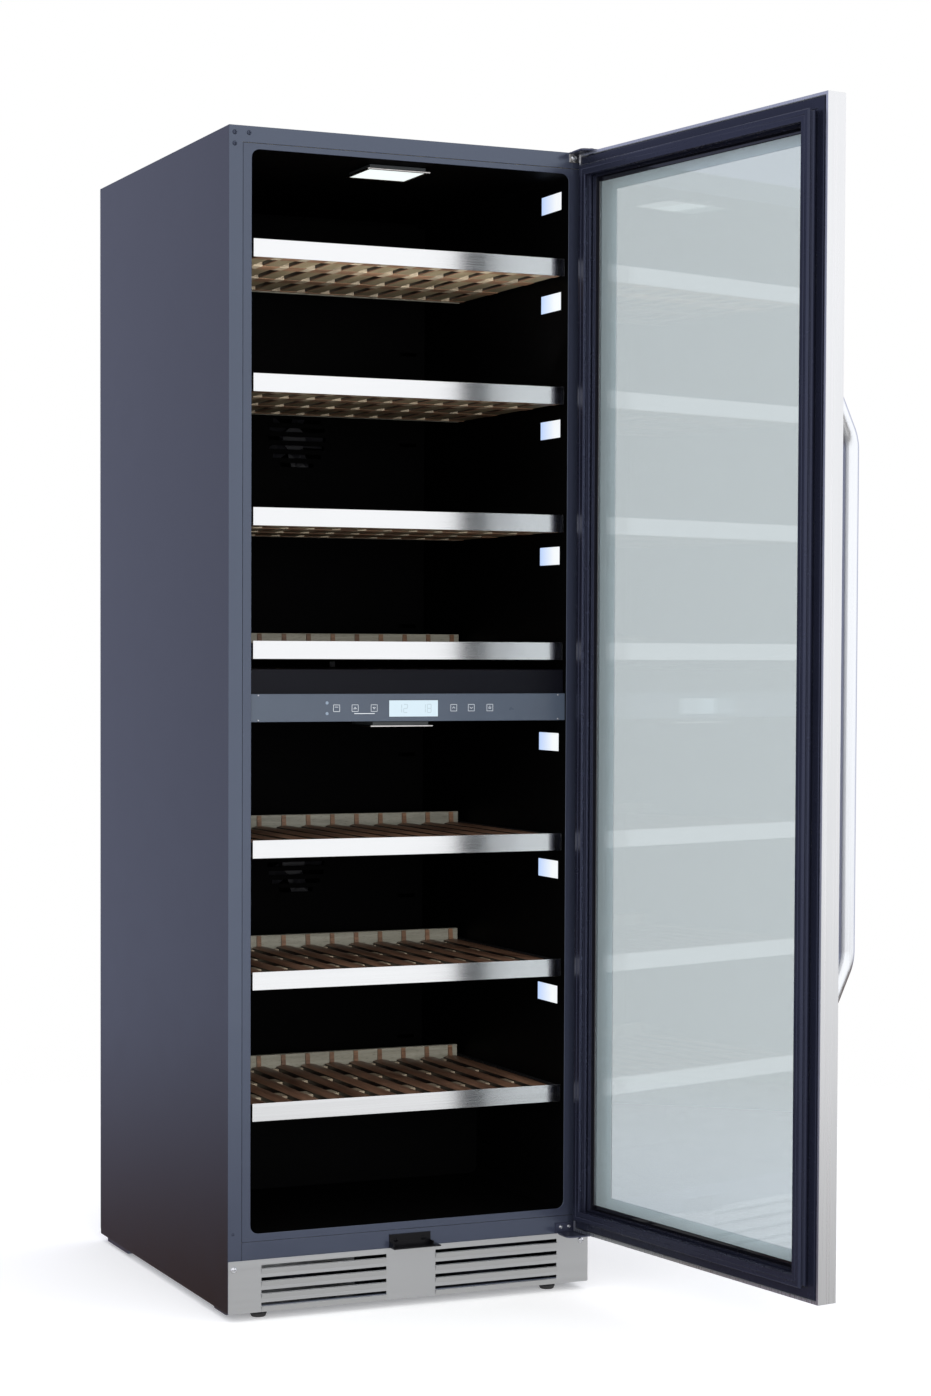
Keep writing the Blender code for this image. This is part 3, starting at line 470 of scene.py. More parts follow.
def glowing(name, colour, strength, pattern=None):
    """A lit diffuser: an opal plastic that also gives light."""
    n = Nodes(name)
    at = n.place()
    clouds = n.noise(at, 30.0, 2.0)
    tint = n.mix(clouds, shade(colour, 0.93), colour)
    if pattern is not None:
        tint = pattern(n, tint)
    n.set(Base_Color=(0.06, 0.07, 0.08), Roughness=0.35)
    n.set(Emission_Color=tint, Emission_Strength=strength)
    n.bump(n.noise(at, 700.0, 2.0), 0.1, 0.0001)
    return n.mat


def pane(name, tint):
    """Flat glass: tinted where it is looked through, a mirror at a grazing angle."""
    least, fall_off = 0.04, 4.0  # share mirrored square on, and how late it rises
    n = Nodes(name)
    n.tree.nodes.remove(n.shader)
    clear = n.add("ShaderNodeBsdfTransparent", Color=(*tint, 1))
    mirror = n.add("ShaderNodeBsdfGlossy", Roughness=0.0)
    facing = n.add("ShaderNodeLayerWeight", Blend=0.5)
    share = n.math("POWER", facing.outputs["Facing"], fall_off)
    smear = n.noise(n.place(), 3.0, 4.0)
    share = n.math("MULTIPLY", share, n.span(smear, 0.97, 1.03))
    share = n.span(share, least, 1.0)
    mix = n.add("ShaderNodeMixShader")
    n.link(share, mix.inputs["Fac"])
    n.link(clear.outputs[0], mix.inputs[1])
    n.link(mirror.outputs[0], mix.inputs[2])
    n.link(mix.outputs[0], n.output.inputs["Surface"])
    return n.mat


def window_pattern(n, tint):
    """A light guide fed from its front end: white there, bluer and dimmer at the back."""
    split = n.add("ShaderNodeSeparateXYZ")
    n.link(n.place(), split.inputs["Vector"])
    near, far, blue = FRONT + 0.045, FRONT + 0.098, (0.48, 0.64, 0.98)
    return n.mix(n.span(split.outputs["Y"], 0.0, 1.0, near, far), tint, blue)


def make_materials():
    """Every material, by what it is used for."""
    # The slate colour and the pale tint paint a bluish reflection of the surroundings onto the
    # front flanges and the base tray.
    painted_reflection_slate = (0.026, 0.030, 0.049)
    pale_reflection_tint, navy_reflection_tint = (0.70, 0.82, 1.0), (0.62, 0.68, 1.0)
    return {
        "case": painted("case_paint", (0.007, 0.007, 0.009), 0.19, specular=0.44, peel=0.05),
        "flange": painted("flange_painted_reflection", painted_reflection_slate, 0.17, specular=1.0, peel=0.06, sheen=pale_reflection_tint),
        "liner_flange_painted_reflection": painted("liner_flange_painted_reflection", painted_reflection_slate, 0.20, 0.0, 0.92, 0.08, pale_reflection_tint),
        "liner": moulded("liner_black", (0.0010, 0.0010, 0.0011), 0.55, specular=0.04, grain=0.3),
        "black": moulded("black_plastic", (0.010, 0.010, 0.012), 0.42, specular=0.4),
        "zinc": brushed("zinc_sheet", (0.46, 0.47, 0.48), 0.42, (40, 40, 3), 0.1, 0.1),
        "rail": painted("rail_black", (0.012, 0.012, 0.013), 0.5, specular=0.3),
        "foam": moulded("foam", (0.78, 0.70, 0.46), 0.9, grain=0.6, scale=500),
        "kick": brushed("kick_steel", (0.50, 0.51, 0.52), 0.34, (2, 2, 420), 0.02, 0.03),
        "steel": brushed("door_steel", (0.66, 0.665, 0.675), 0.30, (420, 420, 2), 0.008, 0.009),
        "trim": brushed("trim_steel", (0.68, 0.685, 0.69), 0.13, (2, 2, 500), 0.008, 0.01, 0.03),
        "tube": brushed("tube_steel", (0.72, 0.735, 0.76), 0.24, (500, 500, 3), 0.02, 0.015),
        "screw": brushed("screw_steel", (0.72, 0.73, 0.76), 0.22, (300, 300, 300), 0.05, 0.05),
        "hinge": painted("hinge_paint", (0.045, 0.050, 0.085), 0.30, metallic=0.6),
        "catch": painted("catch_paint", (0.003, 0.003, 0.004), 0.25, specular=0.18),
        "bright": brushed("bracket_steel", (0.62, 0.60, 0.58), 0.20, (200, 200, 8), 0.05, 0.05),
        # Frame and seal: the navy in their colour and in their reflection tint is painted
        # reflection of bluish surroundings.
        "frame": moulded(
            "frame_plastic", (0.008, 0.009, 0.017), 0.26, 0.42, grain=0.05, sheen=navy_reflection_tint
        ),
        "seal": moulded("seal_rubber", (0.009, 0.010, 0.019), 0.26, grain=0.03, sheen=navy_reflection_tint),
        "frit": moulded("frit_black", (0.004, 0.004, 0.006), 0.06, specular=0.6, grain=0.0),
        "glass": pane("clear_glass", (0.892, 0.914, 0.921)),
        # The tape's glow is painted light standing in for the light its shaded place lacks.
        "tape": moulded("pale_tape_painted_glow", (0.86, 0.90, 0.91), 0.6, grain=0.1, painted_glow=0.29),
        "rubber": moulded("foot_rubber", (0.012, 0.012, 0.013), 0.55),
        "compressor": painted("compressor_paint", (0.012, 0.012, 0.013), 0.35),
        "alu": brushed("fin_aluminium", (0.72, 0.73, 0.74), 0.35, (300, 300, 5), 0.1, 0.08),
        "wood_y": wooden("wood_slat", "Y", (0.078, 0.037, 0.023), (0.28, 0.155, 0.100)),
        "wood_x": wooden("wood_batten", "X", (0.12, 0.060, 0.036), (0.30, 0.175, 0.108)),
        # A lighter, olive copy of the slat wood: painted light on the slat undersides.
        "wood_painted_underlight": wooden("wood_painted_underlight", "Y", (0.15, 0.118, 0.070), (0.30, 0.250, 0.160)),
        # A paler copy of the batten wood: painted light on the battens between slats.
        "wood_painted_lit": wooden("wood_painted_lit", "X", (0.26, 0.20, 0.14), (0.52, 0.44, 0.32)),
        # A pale copy of the batten wood: painted highlight on the rear board.
        "wood_painted_highlight": wooden("wood_painted_highlight", "X", (0.22, 0.215, 0.175), (0.41, 0.40, 0.335)),
        # A near-black copy of the slat wood: painted shade on the slat sides.
        "wood_painted_shade": wooden("wood_painted_shade", "Y", (0.004, 0.003, 0.003), (0.013, 0.009, 0.008)),
        "panel": moulded("panel_plastic", (0.052, 0.067, 0.094), 0.30, grain=0.05),
        "divider": moulded("divider_black", (0.0030, 0.0032, 0.0055), 0.40, specular=0.12),
        "lamp_body": moulded("lamp_body", (0.045, 0.050, 0.053), 0.35),
        "lamp": glowing("lamp_lens", (0.90, 0.97, 0.95), 1.08),
        "window": glowing("window_lens", (0.95, 0.98, 1.0), 0.98, window_pattern),
        "display": glowing("display_lit", (0.66, 0.80, 0.88), 0.95),
        "digit": glowing("display_digit", (0.50, 0.62, 0.68), 0.9),
        "print": moulded("white_print", (0.62, 0.65, 0.68), 0.5, grain=0.05),
        "led": glowing("led_dot", (0.35, 0.45, 0.60), 0.6),
        "case_screw": painted("case_screw", (0.055, 0.065, 0.100), 0.25, metallic=0.7),
        "spacer": brushed("spacer_bar", (0.35, 0.35, 0.36), 0.35, (100, 100, 4), 0.1, 0.1),
    }


# Case


def faces_front(depth, turned_by):
    """A paint function: 1 for a face that looks forward, within depth of the flange; these faces
    take the lighter paint of painted reflection.
    """

    def paint(face):
        forward = face.normal.y < -turned_by
        return 1 if forward and face.calc_center_median().y < FRONT + depth else 0

    return paint


def build_case(mat):
    """The outer sheets and the liner; each front flange takes a lighter bluish paint, a painted
    reflection of the bright surroundings.
    """

    mats = [mat["case"], mat["flange"]]
    paint = faces_front(0.003, 0.5)
    rounded_node("outer_case", mats, width=0.0007, segments=3, paint=paint)
    mats = [mat["liner"], mat["liner_flange_painted_reflection"]]
    paint = faces_front(0.0012, 0.35)
    rounded_node("inner_liner", mats, width=0.0010, segments=3, paint=paint)
    rounded_node("base_tray", mat["flange"], width=0.0005, segments=2)
    rounded_node("rear_panel", mat["zinc"], width=0.0003, segments=1)
    build_screws(mat)


def build_screws(mat):
    """The screws of the flange, the kick plate and the rear panel."""
    forward, backward = (0, -1, 0), (0, 1, 0)
    bm = bmesh.new()
    left = -0.2975
    for x, z in ((left + 0.0088, 1.7550), (left + 0.0088, 1.7385), (left + 0.0310, 1.7555)):
        screw_head(bm, from_case(x, -0.0002, z), forward, 0.0036, 0.0018)
    screw_head(bm, from_case(-0.2895, -0.0002, 0.1310), forward, 0.0022, 0.0010)
    finish_object("case_screws", bm, mat["case_screw"], "cabinet")
    bm = bmesh.new()
    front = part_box("kick_plate")[0].y + 0.0030
    for x, z in ((-0.2888, 0.0785), (0.2850, 0.0770)):
        screw_head(bm, Vector((MIDDLE + x, front - 0.0001, z)), forward, 0.0052, 0.0024)
    finish_object("kick_plate_screws", bm, mat["screw"], "cabinet")
    bm = bmesh.new()
    low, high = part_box("rear_panel")
    margin = 0.012
    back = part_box("outer_case")[1].y + 0.0015
    for x in (low.x + margin, MIDDLE, high.x - margin):
        for z in (0.035, 0.60, 1.17, high.z - margin):
            screw_head(bm, Vector((x, back, z)), backward, 0.0036, 0.0016)
    finish_object("rear_panel_screws", bm, mat["screw"], "cabinet")


def build_base(mat):
    """The kick plate, the catch above it and the feet."""
    rounded_node("kick_plate", mat["kick"], width=0.0005, segments=2, angle=20)
    build_catch(mat)
    for name in ("front_left_foot", "front_right_foot", "rear_left_foot", "rear_right_foot"):
        build_foot(name, mat)


def build_catch(mat):
    """A black angle: a back plate with two screws, a lip with a boss at each end."""
    low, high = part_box("lock_catch")
    sheet = 0.0022
    bm = bmesh.new()
    plate_high = (high.x - 0.010, FRONT - 0.0003, high.z - 0.0035)
    add_block(bm, (low.x, FRONT - sheet, low.z), plate_high, 0.0006, 2)
    add_block(bm, (low.x, low.y, low.z), (high.x, FRONT - 0.0004, low.z + sheet), 0.0008, 2)
    for x in (low.x + 0.0012, high.x - 0.0112):
        ear_low = (x - 0.0011, low.y + 0.004, low.z + 0.001)
        ear_high = (x + 0.0011, FRONT - 0.001, low.z + 0.0085)
        add_block(bm, ear_low, ear_high, 0.0005, 2)
    for x in (low.x + 0.0105, high.x - 0.0225):
        screw_head(bm, (x, FRONT - sheet, low.z + 0.0115), (0, -1, 0), 0.0034, 0.0018)
    for x in (low.x + 0.0115, high.x - 0.0115):
        top = low.z + sheet
        boss = [(0, 0), (0.0040, 0), (0.0040, 0.0006), (0.0034, 0.0009)]
        boss += [(0.0016, 0.0010), (0.0014, 0.0004), (0, 0.0004)]
        turned(boss, 24, bm, (x, low.y + 0.0060, top - 0.0002))
    finish_object("lock_catch_body", bm, mat["catch"], "cabinet", "lock_catch")


def build_foot(name, mat):
    """A ribbed pad with a thread above it."""
    low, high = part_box(name)
    centre = ((low.x + high.x) / 2, (low.y + high.y) / 2, low.z)
    radius = (high.x - low.x) / 2
    height = high.z - low.z
    profile = [(0, 0), (radius - 0.0022, 0), (radius - 0.0012, 0.0006), (radius - 0.0002, 0.0030)]
    profile += [(radius, 0.0038), (radius, 0.0062), (radius - 0.0008, 0.0070)]
    thread, pitch, z = 0.0050, 0.0012, 0.0074
    profile.append((thread, z))
    while z < height - 0.0016:
        profile += [(thread - 0.0007, z + 0.0004), (thread, z + 0.0010)]
        z += pitch
    profile += [(thread - 0.0008, height), (0, height)]
    bm = turned(profile, 36, centre=centre)
    ribs, sunk, half = 18, 0.985, Vector((0.0006, 0.0006, 0.0012))
    for k in range(ribs):
        a = 2 * math.pi * k / ribs
        out = Vector((math.cos(a) * radius * sunk, math.sin(a) * radius * sunk, 0.0050))
        at = Vector(centre) + out
        add_block(bm, at - half, at + half, 0.0002, 1)
    finish_object(f"{name}_body", bm, mat["rubber"], "cabinet", name)


# Shelves


def build_shelf(number, mat, rng):
    """Slats, battens, stop board and a bright steel front."""
    body = f"shelf_{number}"
    node, trim = f"shelf_{number}_slats", f"shelf_{number}_trim"
    low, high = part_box(node)
    trim_low, trim_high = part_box(trim)
    middle, half = (trim_low.x + trim_high.x) / 2, 0.2480
    depth, stop = 0.024, 0.016
    top = trim_high.z - 0.003
    under = top - depth
    front, rear = low.y, high.y
    slats, slot = 12, 0.0150
    width = (2 * half - (slats - 1) * slot) / slats
    bm = bmesh.new()
    for i in range(slats):
        left = middle - half + i * (width + slot)
        add_slat(bm, left, left + width, front, rear - stop, under + 0.0008, top, rng.random())
    edges = []
    for i in range(slats):
        left = middle - half + i * (width + slot)
        edges += [left, left + width]
    battens = [(front, front + 0.022), (front + 0.0935, front + 0.1275)]
    battens += [(front + 0.2285, front + 0.2625), (rear - 0.028, rear - stop)]
    for a, b in battens:
        add_batten(bm, edges, a + 0.0003, b - 0.0003, under, top - 0.0042, rng)
    add_stop_board(bm, edges, rear - stop, rear, under, high.z, rng)
    centre = (trim_low.z + trim_high.z) / 2
    for side in (-1, 1):
        x = sorted((middle + side * (half - 0.012), middle + side * (half + 0.0065)))
        runner_low = (x[0], FRONT + 0.100, centre - 0.007)
        runner_high = (x[1], rear, centre + 0.007)
        add_block(bm, runner_low, runner_high, 0.001, 2, SLAT, rng.random())
    bmesh.ops.recalc_face_normals(bm, faces=bm.faces)
    finish_object(f"{node}_body", bm, [mat[key] for key in WOODS], body, node)

    bm = bmesh.new()
    add_block(bm, trim_low, trim_high, 0.0004, 3)
    finish_object(f"{trim}_body", bm, mat["trim"], body, trim)
    for side in ("left", "right"):
        rail = f"shelf_{number}_{side}_rail"
        rounded_node(rail, mat["rail"], width=0.0004, segments=2)


def add_slat(bm, left, right, front, rear, bottom, top, tone):
    """One slat with chamfered lower edges and a crowned top; its sides take a near-black copy of
    the wood as painted shade, its underside a lighter copy as painted light from below.
    """
    layer = bm.faces.layers.float.get("tone") or bm.faces.layers.float.new("tone")
    steps, cut, crown = 6, 0.0014, 0.0022
    outline = [(left, bottom + cut), (left + cut, bottom)]
    outline += [(right - cut, bottom), (right, bottom + cut)]
    middle, half = (left + right) / 2, (right - left) / 2
    for k in range(steps + 1):
        share = 1 - 2 * k / steps
        outline.append((middle + half * share, top - crown * abs(share) ** 2.5))
    ends = [[bm.verts.new((x, y, z)) for x, z in outline] for y in (front, rear)]
    count = len(outline)
    made = [bm.faces.new(list(reversed(ends[0]))), bm.faces.new(ends[1])]
    for k in range(count):
        after = (k + 1) % count
        made.append(bm.faces.new((ends[0][k], ends[0][after], ends[1][after], ends[1][k])))
        # Both long sides in painted shade, the underside in painted light.
        made[-1].material_index = {1: LIT_UNDERSIDE, 3: SHADED_SIDE, count - 1: SHADED_SIDE}.get(k, SLAT)
    for face in made:
        face[layer] = tone


def add_batten(bm, edges, front, rear, bottom, top, rng):
    """A cross member: darker where it crosses a slat, as painted shade under the slat, and paler
    between two slats, as painted light falling through the slot.
    """
    for k, (a, b) in enumerate(zip(edges, edges[1:])):
        low, high = (a, front, bottom), (b, rear, top)
        add_block(bm, low, high, 0.0005, 1, BATTEN if k % 2 == 0 else LIT_BETWEEN, rng.random())


def add_stop_board(bm, edges, front, rear, bottom, top, rng):
    """The rear board, in a pale copy of the wood that is a painted highlight, with a tapered rib
    behind the middle of each slat.
    """
    low, high = (edges[0], front + 0.0065, bottom), (edges[-1], rear, top)
    add_block(bm, low, high, 0.0012, 2, BOARD_PAINTED_LIGHT, rng.random())
    for a, b in zip(edges[::2], edges[1::2]):
        middle, half, taper, sunk = (a + b) / 2, 0.0036, 0.0045, 0.002
        before = set(bm.faces)
        points = []
        for x in (middle - half, middle + half):
            points.append([(x, front, bottom + sunk), (x, rear - sunk, bottom + sunk)])
            points[-1] += [(x, rear - sunk, top - 0.0006), (x, front + taper, top - 0.0006)]
        sides = [[bm.verts.new(point) for point in side] for side in points]
        bm.faces.new(sides[0])
        bm.faces.new(list(reversed(sides[1])))
        for k in range(4):
            after = (k + 1) % 4
            bm.faces.new((sides[0][after], sides[0][k], sides[1][k], sides[1][after]))
        mark_new(bm, before, BATTEN, rng.random())


# Divider, controls and lamps


def build_controls(mat):
    """The floor between the zones, the fascia with its print, and the display."""
    rounded_node("zone_divider", mat["divider"], width=0.0020, segments=4)
    rounded_node("control_panel", mat["panel"], width=0.0005, segments=2)
    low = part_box("display_module")[0]
    panel_low, panel_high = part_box("control_panel")
    front = panel_low.y

    def lit(face):
        return 1 if face.normal.y < -0.9 and face.calc_center_median().y < low.y + 0.0005 else 0

    mats = [mat["black"], mat["display"]]
    rounded_node("display_module", mats, width=0.0002, segments=2, paint=lit)
    build_digits(mat, low.y)
    build_print(mat, front)
    bm = bmesh.new()
    margin_x, margin_z = 0.012, 0.0022
    for x in (panel_low.x + margin_x, panel_high.x - margin_x):
        for z in (panel_low.z + margin_z, panel_high.z - margin_z):
            screw_head(bm, (x, front - 0.0001, z), (0, -1, 0), 0.0014, 0.0006)
    finish_object("panel_screws", bm, mat["screw"], "cabinet")


# Both ends of each bar of a seven-segment numeral, in widths and heights
SEGMENTS = {
    "a": (0.0, 1.0, 1.0, 1.0),
    "b": (1.0, 0.5, 1.0, 1.0),
    "c": (1.0, 0.0, 1.0, 0.5),
    "d": (0.0, 0.0, 1.0, 0.0),
    "e": (0.0, 0.0, 0.0, 0.5),
    "f": (0.0, 0.5, 0.0, 1.0),
    "g": (0.0, 0.5, 1.0, 0.5),
}
DIGITS = {"0": "abcdef", "1": "bc", "2": "abged", "8": "abcdefg"}


def add_stroke(bm, start, end, width, y, thickness):
    """A flat bar between two points of the XZ plane."""
    a, b = Vector((start[0], 0, start[1])), Vector((end[0], 0, end[1]))
    along = (b - a).normalized()
    across = along.cross(Vector((0, 1, 0))) * width / 2
    a, b = a - along * width / 2, b + along * width / 2
    outline = (a - across, b - across, b + across, a + across)
    near = [p + Vector((0, y - thickness, 0)) for p in outline]
    far = [p + Vector((0, thickness, 0)) for p in near]
    v = [bm.verts.new(p) for p in near + far]
    bm.faces.new(v[:4])
    bm.faces.new(list(reversed(v[4:])))
    for k in range(4):
        bm.faces.new((v[k], v[k + 4], v[(k + 1) % 4 + 4], v[(k + 1) % 4]))


def build_digits(mat, face):
    """Two temperatures, as seven-segment numerals."""
    bm = bmesh.new()
    wide, tall, step, gap = 0.0062, 0.0125, 0.0095, 0.0008
    line, ink = 0.0011, 0.00012
    for text, x in (("12", -0.0255), ("18", 0.0135)):
        for i, char in enumerate(text):
            corner = from_case(x + i * step, 0, 0.9040)
            for segment in DIGITS[char]:
                x0, z0, x1, z1 = SEGMENTS[segment]
                gap_x, gap_z = (gap, 0.0) if z0 == z1 else (0.0, gap)
                start = (corner.x + x0 * wide + gap_x, corner.z + z0 * tall + gap_z)
                end = (corner.x + x1 * wide - gap_x, corner.z + z1 * tall - gap_z)
                add_stroke(bm, start, end, line, face, ink)
    bmesh.ops.recalc_face_normals(bm, faces=bm.faces)
    finish_object("display_digits", bm, mat["digit"], "cabinet")


def build_print(mat, face):
    """Touch keys as printed squares with a sign in each, two lamps and an underline."""
    bm = bmesh.new()
    key, line, ink = 0.0050, 0.0006, 0.00008
    sign = 0.55  # size of a sign within its key
    for index, x in enumerate((-0.1252, -0.0953, -0.0644, 0.0667, 0.0960, 0.1272)):
        c = from_case(x, 0, 0.9110)
        square = [(-key, -key), (key, -key), (key, key), (-key, key)]
        for k in range(4):
            a, b = square[k], square[(k + 1) % 4]
            add_stroke(bm, (c.x + a[0], c.z + a[1]), (c.x + b[0], c.z + b[1]), line, face, ink)
        for a, b in KEY_SIGNS[index]:
            start = (c.x + a[0] * key * sign, c.z + a[1] * key * sign)
            end = (c.x + b[0] * key * sign, c.z + b[1] * key * sign)
            add_stroke(bm, start, end, line, face, ink)
    a, b = from_case(-0.0960, 0, 0.9028), from_case(-0.0640, 0, 0.9028)
    add_stroke(bm, (a.x, a.z), (b.x, b.z), 0.0010, face, ink)
    bmesh.ops.recalc_face_normals(bm, faces=bm.faces)
    finish_object("panel_print", bm, mat["print"], "cabinet")
    bm = bmesh.new()
    dome = [(0, 0), (0.0024, 0), (0.0023, 0.0003), (0, 0.0006)]
    for z in (0.9190, 0.9030):
        at = from_case(-0.1405, 0, z)
        turned(dome, 20, bm, (at.x, face, z), (0, -1, 0))
    finish_object("panel_lamps", bm, mat["led"], "cabinet")


# The strokes of each key's sign, in halves of the sign's size
KEY_SIGNS = (
    [((-1, 0.6), (1, 0.6))],
    [((-0.8, -0.4), (0, 0.6)), ((0, 0.6), (0.8, -0.4)), ((0.8, -0.4), (-0.8, -0.4))],
    [((-0.8, 0.4), (0, -0.6)), ((0, -0.6), (0.8, 0.4)), ((0.8, 0.4), (-0.8, 0.4))],
    [((-0.8, -0.3), (0, 0.5)), ((0, 0.5), (0.8, -0.3))],
    [((-0.8, 0.3), (0, -0.5)), ((0, -0.5), (0.8, 0.3))],
    [
        ((0, 1), (0, 0)),
        ((-0.6, 0.3), (-0.6, -0.5)),
        ((0.6, 0.3), (0.6, -0.5)),
        ((-0.6, -0.5), (0.6, -0.5)),
    ],
)


def build_lamps(mat):
    """A box with a bright rim and a lens for each ceiling, and the light guide's windows."""
    for node in ("upper_lamp", "lower_lamp"):
        low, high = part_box(node)
        bm = bmesh.new()
        inset = 0.005
        box_low = (low.x + inset, low.y + inset, low.z + 0.0016)
        box_high = (high.x - inset, high.y - inset, high.z)
        add_block(bm, box_low, box_high, 0.0012, 3, 0)
        outer = [(0, low.z + 0.0022), (0, low.z), (0.0045, low.z)]
        outer += [(0.0060, low.z + 0.0012), (0.0060, low.z + 0.0022)]
        ring = bmesh.new()
        mitred_ring(rounded_profile(outer, 0.0005), low.x, high.x, low.y, high.y, ring)
        for vert in ring.verts:
            vert.co = Vector((vert.co.x, vert.co.z, vert.co.y))
        bmesh.ops.recalc_face_normals(ring, faces=ring.faces)
        held = bpy.data.meshes.new("ring")
        ring.to_mesh(held)
        ring.free()
        before = set(bm.faces)
        bm.from_mesh(held)
        mark_new(bm, before, 1)
        rim = 0.0058
        lens_low = (low.x + rim, low.y + rim, low.z + 0.0008)
        lens_high = (high.x - rim, high.y - rim, low.z + 0.0018)
        add_block(bm, lens_low, lens_high, 0.0003, 1, 2)
        mats = [mat["lamp_body"], mat["bright"], mat["lamp"]]
        finish_object(f"{node}_body", bm, mats, "cabinet", node)

    def lens(face):
        return 0 if face.normal.x < -0.2 else 1

    mats = [mat["window"], mat["black"]]
    rounded_node("side_light", mats, width=0.0002, segments=1, paint=lens)


# Inner parts


def build_inner(mat):
    """The fan covers, and a material for each piece that stays as the CAD has it."""
    for node in ("upper_fan_cover", "lower_fan_cover"):
        rounded_node(node, mat["liner"], width=0.0012, segments=3)
    for key, nodes in (
        ("foam", ["insulation_foam"]),
        ("alu", ["evaporator", "condenser"]),
        ("compressor", ["compressor"]),
        ("black", ["upper_fan", "lower_fan", "condenser_fan"]),
    ):
        for node in nodes:
            mesh = frame["nodes"][node].data
            mesh.materials.clear()
            mesh.materials.append(mat[key])


# Hinges and door


def build_hinges(mat):
    """Both brackets and the screws that hold them."""
    rounded_node("lower_hinge", mat["hinge"], width=0.0005, segments=2)

    def upper_paint(face):
        return 1 if face.calc_center_median().y > FRONT - 0.0031 else 0

    mats = [mat["hinge"], mat["bright"]]
    rounded_node("upper_hinge", mats, width=0.0005, segments=2, paint=upper_paint)
    bm = bmesh.new()
    for x, z in ((0.2500, 0.1005), (0.2640, 0.1005)):
        screw_head(bm, from_case(x, -0.0025, z), (0, -1, 0), 0.0030, 0.0015)
    screw_head(bm, from_case(0.2632, -0.0028, 1.7570), (0, -1, 0), 0.0048, 0.0022)
    finish_object("hinge_screws", bm, mat["screw"], "cabinet")


def build_door(mat):
    """The frames, the seal, the glass and the handle, each in the door's own axes."""
    build_door_frame(mat)
    low, high = in_door("door_inner_frame")
    reach = 0.0046
    edges = (low.x - reach, high.x + reach, low.z - reach, high.z + reach)
    build_inner_frame(mat, edges, low.y, high.y)
    build_gasket(mat, edges)
    build_glazing(mat)
    build_handle(mat)


def build_door_frame(mat):
    """The steel border, with pale tape on the back of its front sheet. The tape glows faintly:
    painted light that lifts it out of the border's shade.
    """
    back = DOOR.inverted()
    face = in_door("door_frame")[0].y
    bm = node_bmesh("door_frame")
    bevel_sharp(bm, 0.0005, 3)
    bm.normal_update()
    for side in bm.faces:
        inward = (back.to_3x3() @ side.normal).y > 0.9
        near = (back @ side.calc_center_median()).y < face + 0.003
        side.material_index = 1 if inward and near else 0
    mats = [mat["steel"], mat["tape"]]
    finish_object("door_frame_body", bm, mats, "door", "door_frame")


def build_inner_frame(mat, edges, base, top):
    """The plastic border on the inner side, whose last part is the printed edge of the glass."""
    profile = [
        (0.0046, base), (0.0046, top - 0.0030), (0.0066, top - 0.0030),
        (0.0070, top), (0.0205, top), (0.0220, top - 0.0012),
        (0.0380, top - 0.0012), (0.0394, top - 0.0006), (0.0402, base + 0.0018),
        (0.0484, base + 0.0012), (0.0490, base + 0.0004), (0.0490, base),
    ]
    bm = mitred_ring(rounded_profile(profile, 0.0008), *edges)
    for face in bm.faces:
        at = face.calc_center_median()
        inset = min(at.x - edges[0], edges[1] - at.x, at.z - edges[2], edges[3] - at.z)
        face.material_index = 1 if inset > 0.0406 else 0
    name, mats = "door_inner_frame", [mat["frame"], mat["frit"]]
    finish_object(f"{name}_body", bm, mats, "door", name, place=DOOR)


def build_gasket(mat, edges):
    """A bellows seal with a flat tip."""
    low, high = in_door("door_gasket")
    tip, seat = high.y, low.y
    profile = [
        (0.0215, tip - 0.0028), (0.0222, tip - 0.0010), (0.0240, tip),
        (0.0290, tip), (0.0300, tip - 0.0008), (0.0310, tip),
        (0.0375, tip), (0.0385, tip - 0.0010), (0.0385, tip - 0.0046),
        (0.0340, tip - 0.0062), (0.0365, tip - 0.0082), (0.0340, tip - 0.0100),
        (0.0368, tip - 0.0120), (0.0370, seat), (0.0230, seat),
        (0.0232, tip - 0.0120), (0.0255, tip - 0.0100), (0.0235, tip - 0.0082),
        (0.0255, tip - 0.0062), (0.0215, tip - 0.0046),
    ]
    bm = mitred_ring(rounded_profile(profile, 0.0008), *edges)
    finish_object("door_gasket_body", bm, mat["seal"], "door", "door_gasket", place=DOOR)


def build_glazing(mat):
    """Two panes with a spacer bar between them."""
    low, high = in_door("door_glass")
    thick, bar, gap = 0.004, 0.0095, 0.0002
    bm = bmesh.new()
    for y in (low.y, high.y - thick):
        add_block(bm, (low.x, y, low.z), (high.x, y + thick, high.z), 0.0006, 1, 0)
    near, far = low.y + thick + gap, high.y - thick - gap
    spacer = [(0.0, near), (bar, near), (bar, far), (0.0, far)]
    before = set(bm.faces)
    mitred_ring(rounded_profile(spacer, 0.0008), low.x, high.x, low.z, high.z, bm)
    mark_new(bm, before, 1)
    mats = [mat["glass"], mat["spacer"]]
    finish_object("door_glass_body", bm, mats, "door", "door_glass", place=DOOR)


